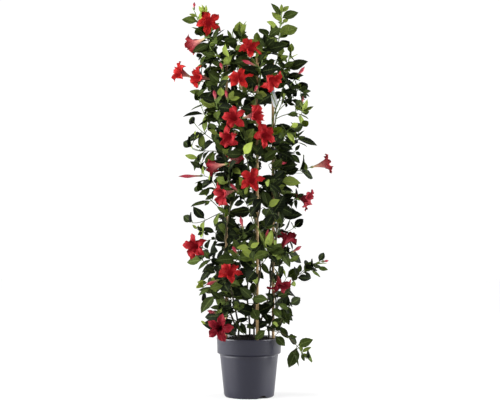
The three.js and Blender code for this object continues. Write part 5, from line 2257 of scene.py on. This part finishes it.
@dataclass
class Bud:
    """A closed flower: a slim spindle with spiral folds, fullest near its tip."""

    number: int
    foot: Triple
    tip: Triple

    # Shares of the length, and of the fullest radius.
    RINGS = (
        (0, 0.2), (0.02, 0.42), (0.12, 0.5), (0.28, 0.56), (0.42, 0.74), (0.54, 0.95), (0.62, 1.0),
        (0.72, 0.9), (0.82, 0.64), (0.91, 0.34), (0.97, 0.12), (1.0, 0.02),
    )
    SIDES = 15

    def form(self, ring: np.ndarray, turn: np.ndarray) -> np.ndarray:
        """Where the bud's points are."""
        foot, tip = np.array(self.foot, float), np.array(self.tip, float)
        length = float(np.linalg.norm(tip - foot))
        fullest = min(5.6, length * 0.17)
        shares = np.array(self.RINGS)[ring]
        ridge = 1 + 0.13 * np.cos(turn * 5) * np.clip((shares[:, 0] - 0.3) * 3, 0, 1)
        radius = shares[:, 1] * fullest * ridge
        angle = turn + shares[:, 0] * 1.9
        direction = unit(tip - foot)
        sideways, top = axes_of(direction)
        return (
            foot
            + np.outer(np.cos(angle) * radius, sideways)
            + np.outer(np.sin(angle) * radius, top)
            + np.outer(shares[:, 0] * length, direction)
        )

    def build(self, blank: RingBlank) -> None:
        """Makes the bud."""
        node = f"bud_{self.number + 1:02d}"
        bud = blank.formed(f"{node}_closed", self.form)
        note(bud, "reach", np.array(self.RINGS)[blank.ring, 0])
        note(bud, "turn", blank.turn / math.tau)
        note(bud, "shade", 0.25 * (self.number % 3 == 0))
        face_out(bud)
        smooth(bud, 50.0)
        dress(bud, BudSkin().material())
        hand_over(bud, Slot.BUD, node)


# --- Studio ---


def aimed(name: str, data: bpy.types.ID, place: Triple, target: Triple) -> Object:
    """A lamp or camera at a place, turned to its target."""
    obj = bpy.data.objects.new(name, data)
    obj.location = place
    away = Vector(target) - Vector(place)
    obj.rotation_euler = away.to_track_quat("-Z", "Y").to_euler()
    bpy.context.scene.collection.objects.link(obj)
    return obj


@dataclass(frozen=True)
class SoftBox:
    """A flat studio lamp: its width, its height and its power. Metres and watts."""

    name: str
    place: Triple
    target: Triple
    width: float
    height: float
    power: float

    def build(self) -> None:
        """Hangs the lamp."""
        data = bpy.data.lights.new(self.name, "AREA")
        data.shape = "RECTANGLE"
        data.size = self.width
        data.size_y = self.height
        data.energy = self.power
        aimed(self.name, data, self.place, self.target)


@dataclass
class Studio:
    """Pale floor, soft light and the camera."""

    camera_place: Triple = (0.003, -3.6, 0.490)
    camera_target: Triple = (0.003, 0.0, 0.6336)
    lens: float = 79.8
    floor_size: float = 24.0
    pale_low: float = 0.24
    pale_high: float = 0.27
    glow_near: float = 0.54
    glow_far: float = 0.95
    horizon: float = 1.05
    overhead: float = 0.03
    lamps: tuple[SoftBox, ...] = (
        SoftBox("key", (-0.9, -1.6, 3.2), (0.0, 0.0, 0.8), 0.7, 0.7, 50),
        SoftBox("side_left", (-1.9, -0.25, 0.8), (0.0, 0.0, 0.6), 2.1, 1.5, 150),
        SoftBox("side_right", (1.9, -0.1, 0.8), (0.0, 0.0, 0.6), 2.1, 1.5, 145),
    )

    def build(self) -> None:
        """Makes the floor, the light and the camera."""
        deselect()
        bpy.ops.mesh.primitive_plane_add(size=self.floor_size, location=(0, 0, -0.0002))
        floor = bpy.context.active_object
        floor.name = "studio_floor"
        settle(floor)
        finish = Finish("studio_floor")
        cloud = finish.noise(3.0)
        finish.skin(finish.mix(cloud, (self.pale_low,) * 3, (self.pale_high,) * 3), 0.9)
        apart = finish.node("ShaderNodeVectorMath", {"operation": "LENGTH"}, {0: finish.place()}, 1)
        near, far = (self.glow_near,) * 3, (self.glow_far,) * 3
        finish.feed("Emission Color", finish.mix(((apart - 0.3) * 0.4).clipped(), near, far))
        finish.feed("Emission Strength", 1.0)
        dress(floor, finish.material)
        floor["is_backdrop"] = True
        world = bpy.data.worlds.new("studio_air")
        world.use_nodes = True
        air = Finish.of_tree(world.node_tree, "Background")
        place = air.node("ShaderNodeTexCoord", {}, {})
        low = (0.3 - air.node("ShaderNodeSeparateXYZ", {}, {0: place}, 2)) * 14.0
        air.feed("Strength", self.overhead + low.clipped() * (self.horizon - self.overhead))
        air.feed("Color", (1.0, 1.0, 1.0))
        bpy.context.scene.world = world
        bpy.context.scene.view_settings.view_transform = "Standard"
        for lamp in self.lamps:
            lamp.build()
        data = bpy.data.cameras.new("camera")
        data.lens = self.lens
        data.sensor_width = 36.0
        camera = aimed("camera", data, self.camera_place, self.camera_target)
        bpy.context.scene.camera = camera


# --- All of it ---


def main() -> None:
    """Builds every piece in order."""
    logging.basicConfig(level=logging.INFO, format="%(message)s")
    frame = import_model()
    Studio().build()
    Pot().build()
    Soil().build()
    for name, centre in CANES.items():
        Cane(name, centre).build()
    Label().build()
    plan = Plan()
    foliage = Foliage(plan, frame["nodes"])
    leaf_blank = LeafBlank()
    for name in plan.lines:
        Vine(name, plan, foliage.leaves[name]).build(leaf_blank)
    bpy.data.objects.remove(leaf_blank.sheet)
    rings = len(Bloom.TUBE_RINGS) + len(Bloom.LIMB_RINGS)
    bloom_blank = RingBlank("bloom_blank", Bloom.SIDES, rings)
    for number, (_, _, at, turn, lift, share) in enumerate(BLOOMS):
        Bloom(number, at, turn, lift, share, AGE_AND_SHADE.get(number, 0.0)).build(bloom_blank)
    bpy.data.objects.remove(bloom_blank.stack)
    bud_blank = RingBlank("bud_blank", Bud.SIDES, len(Bud.RINGS))
    for number, (_, _, foot, tip) in enumerate(BUDS):
        Bud(number, foot, tip).build(bud_blank)
    bpy.data.objects.remove(bud_blank.stack)
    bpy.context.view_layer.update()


if __name__ == "__main__":
    main()
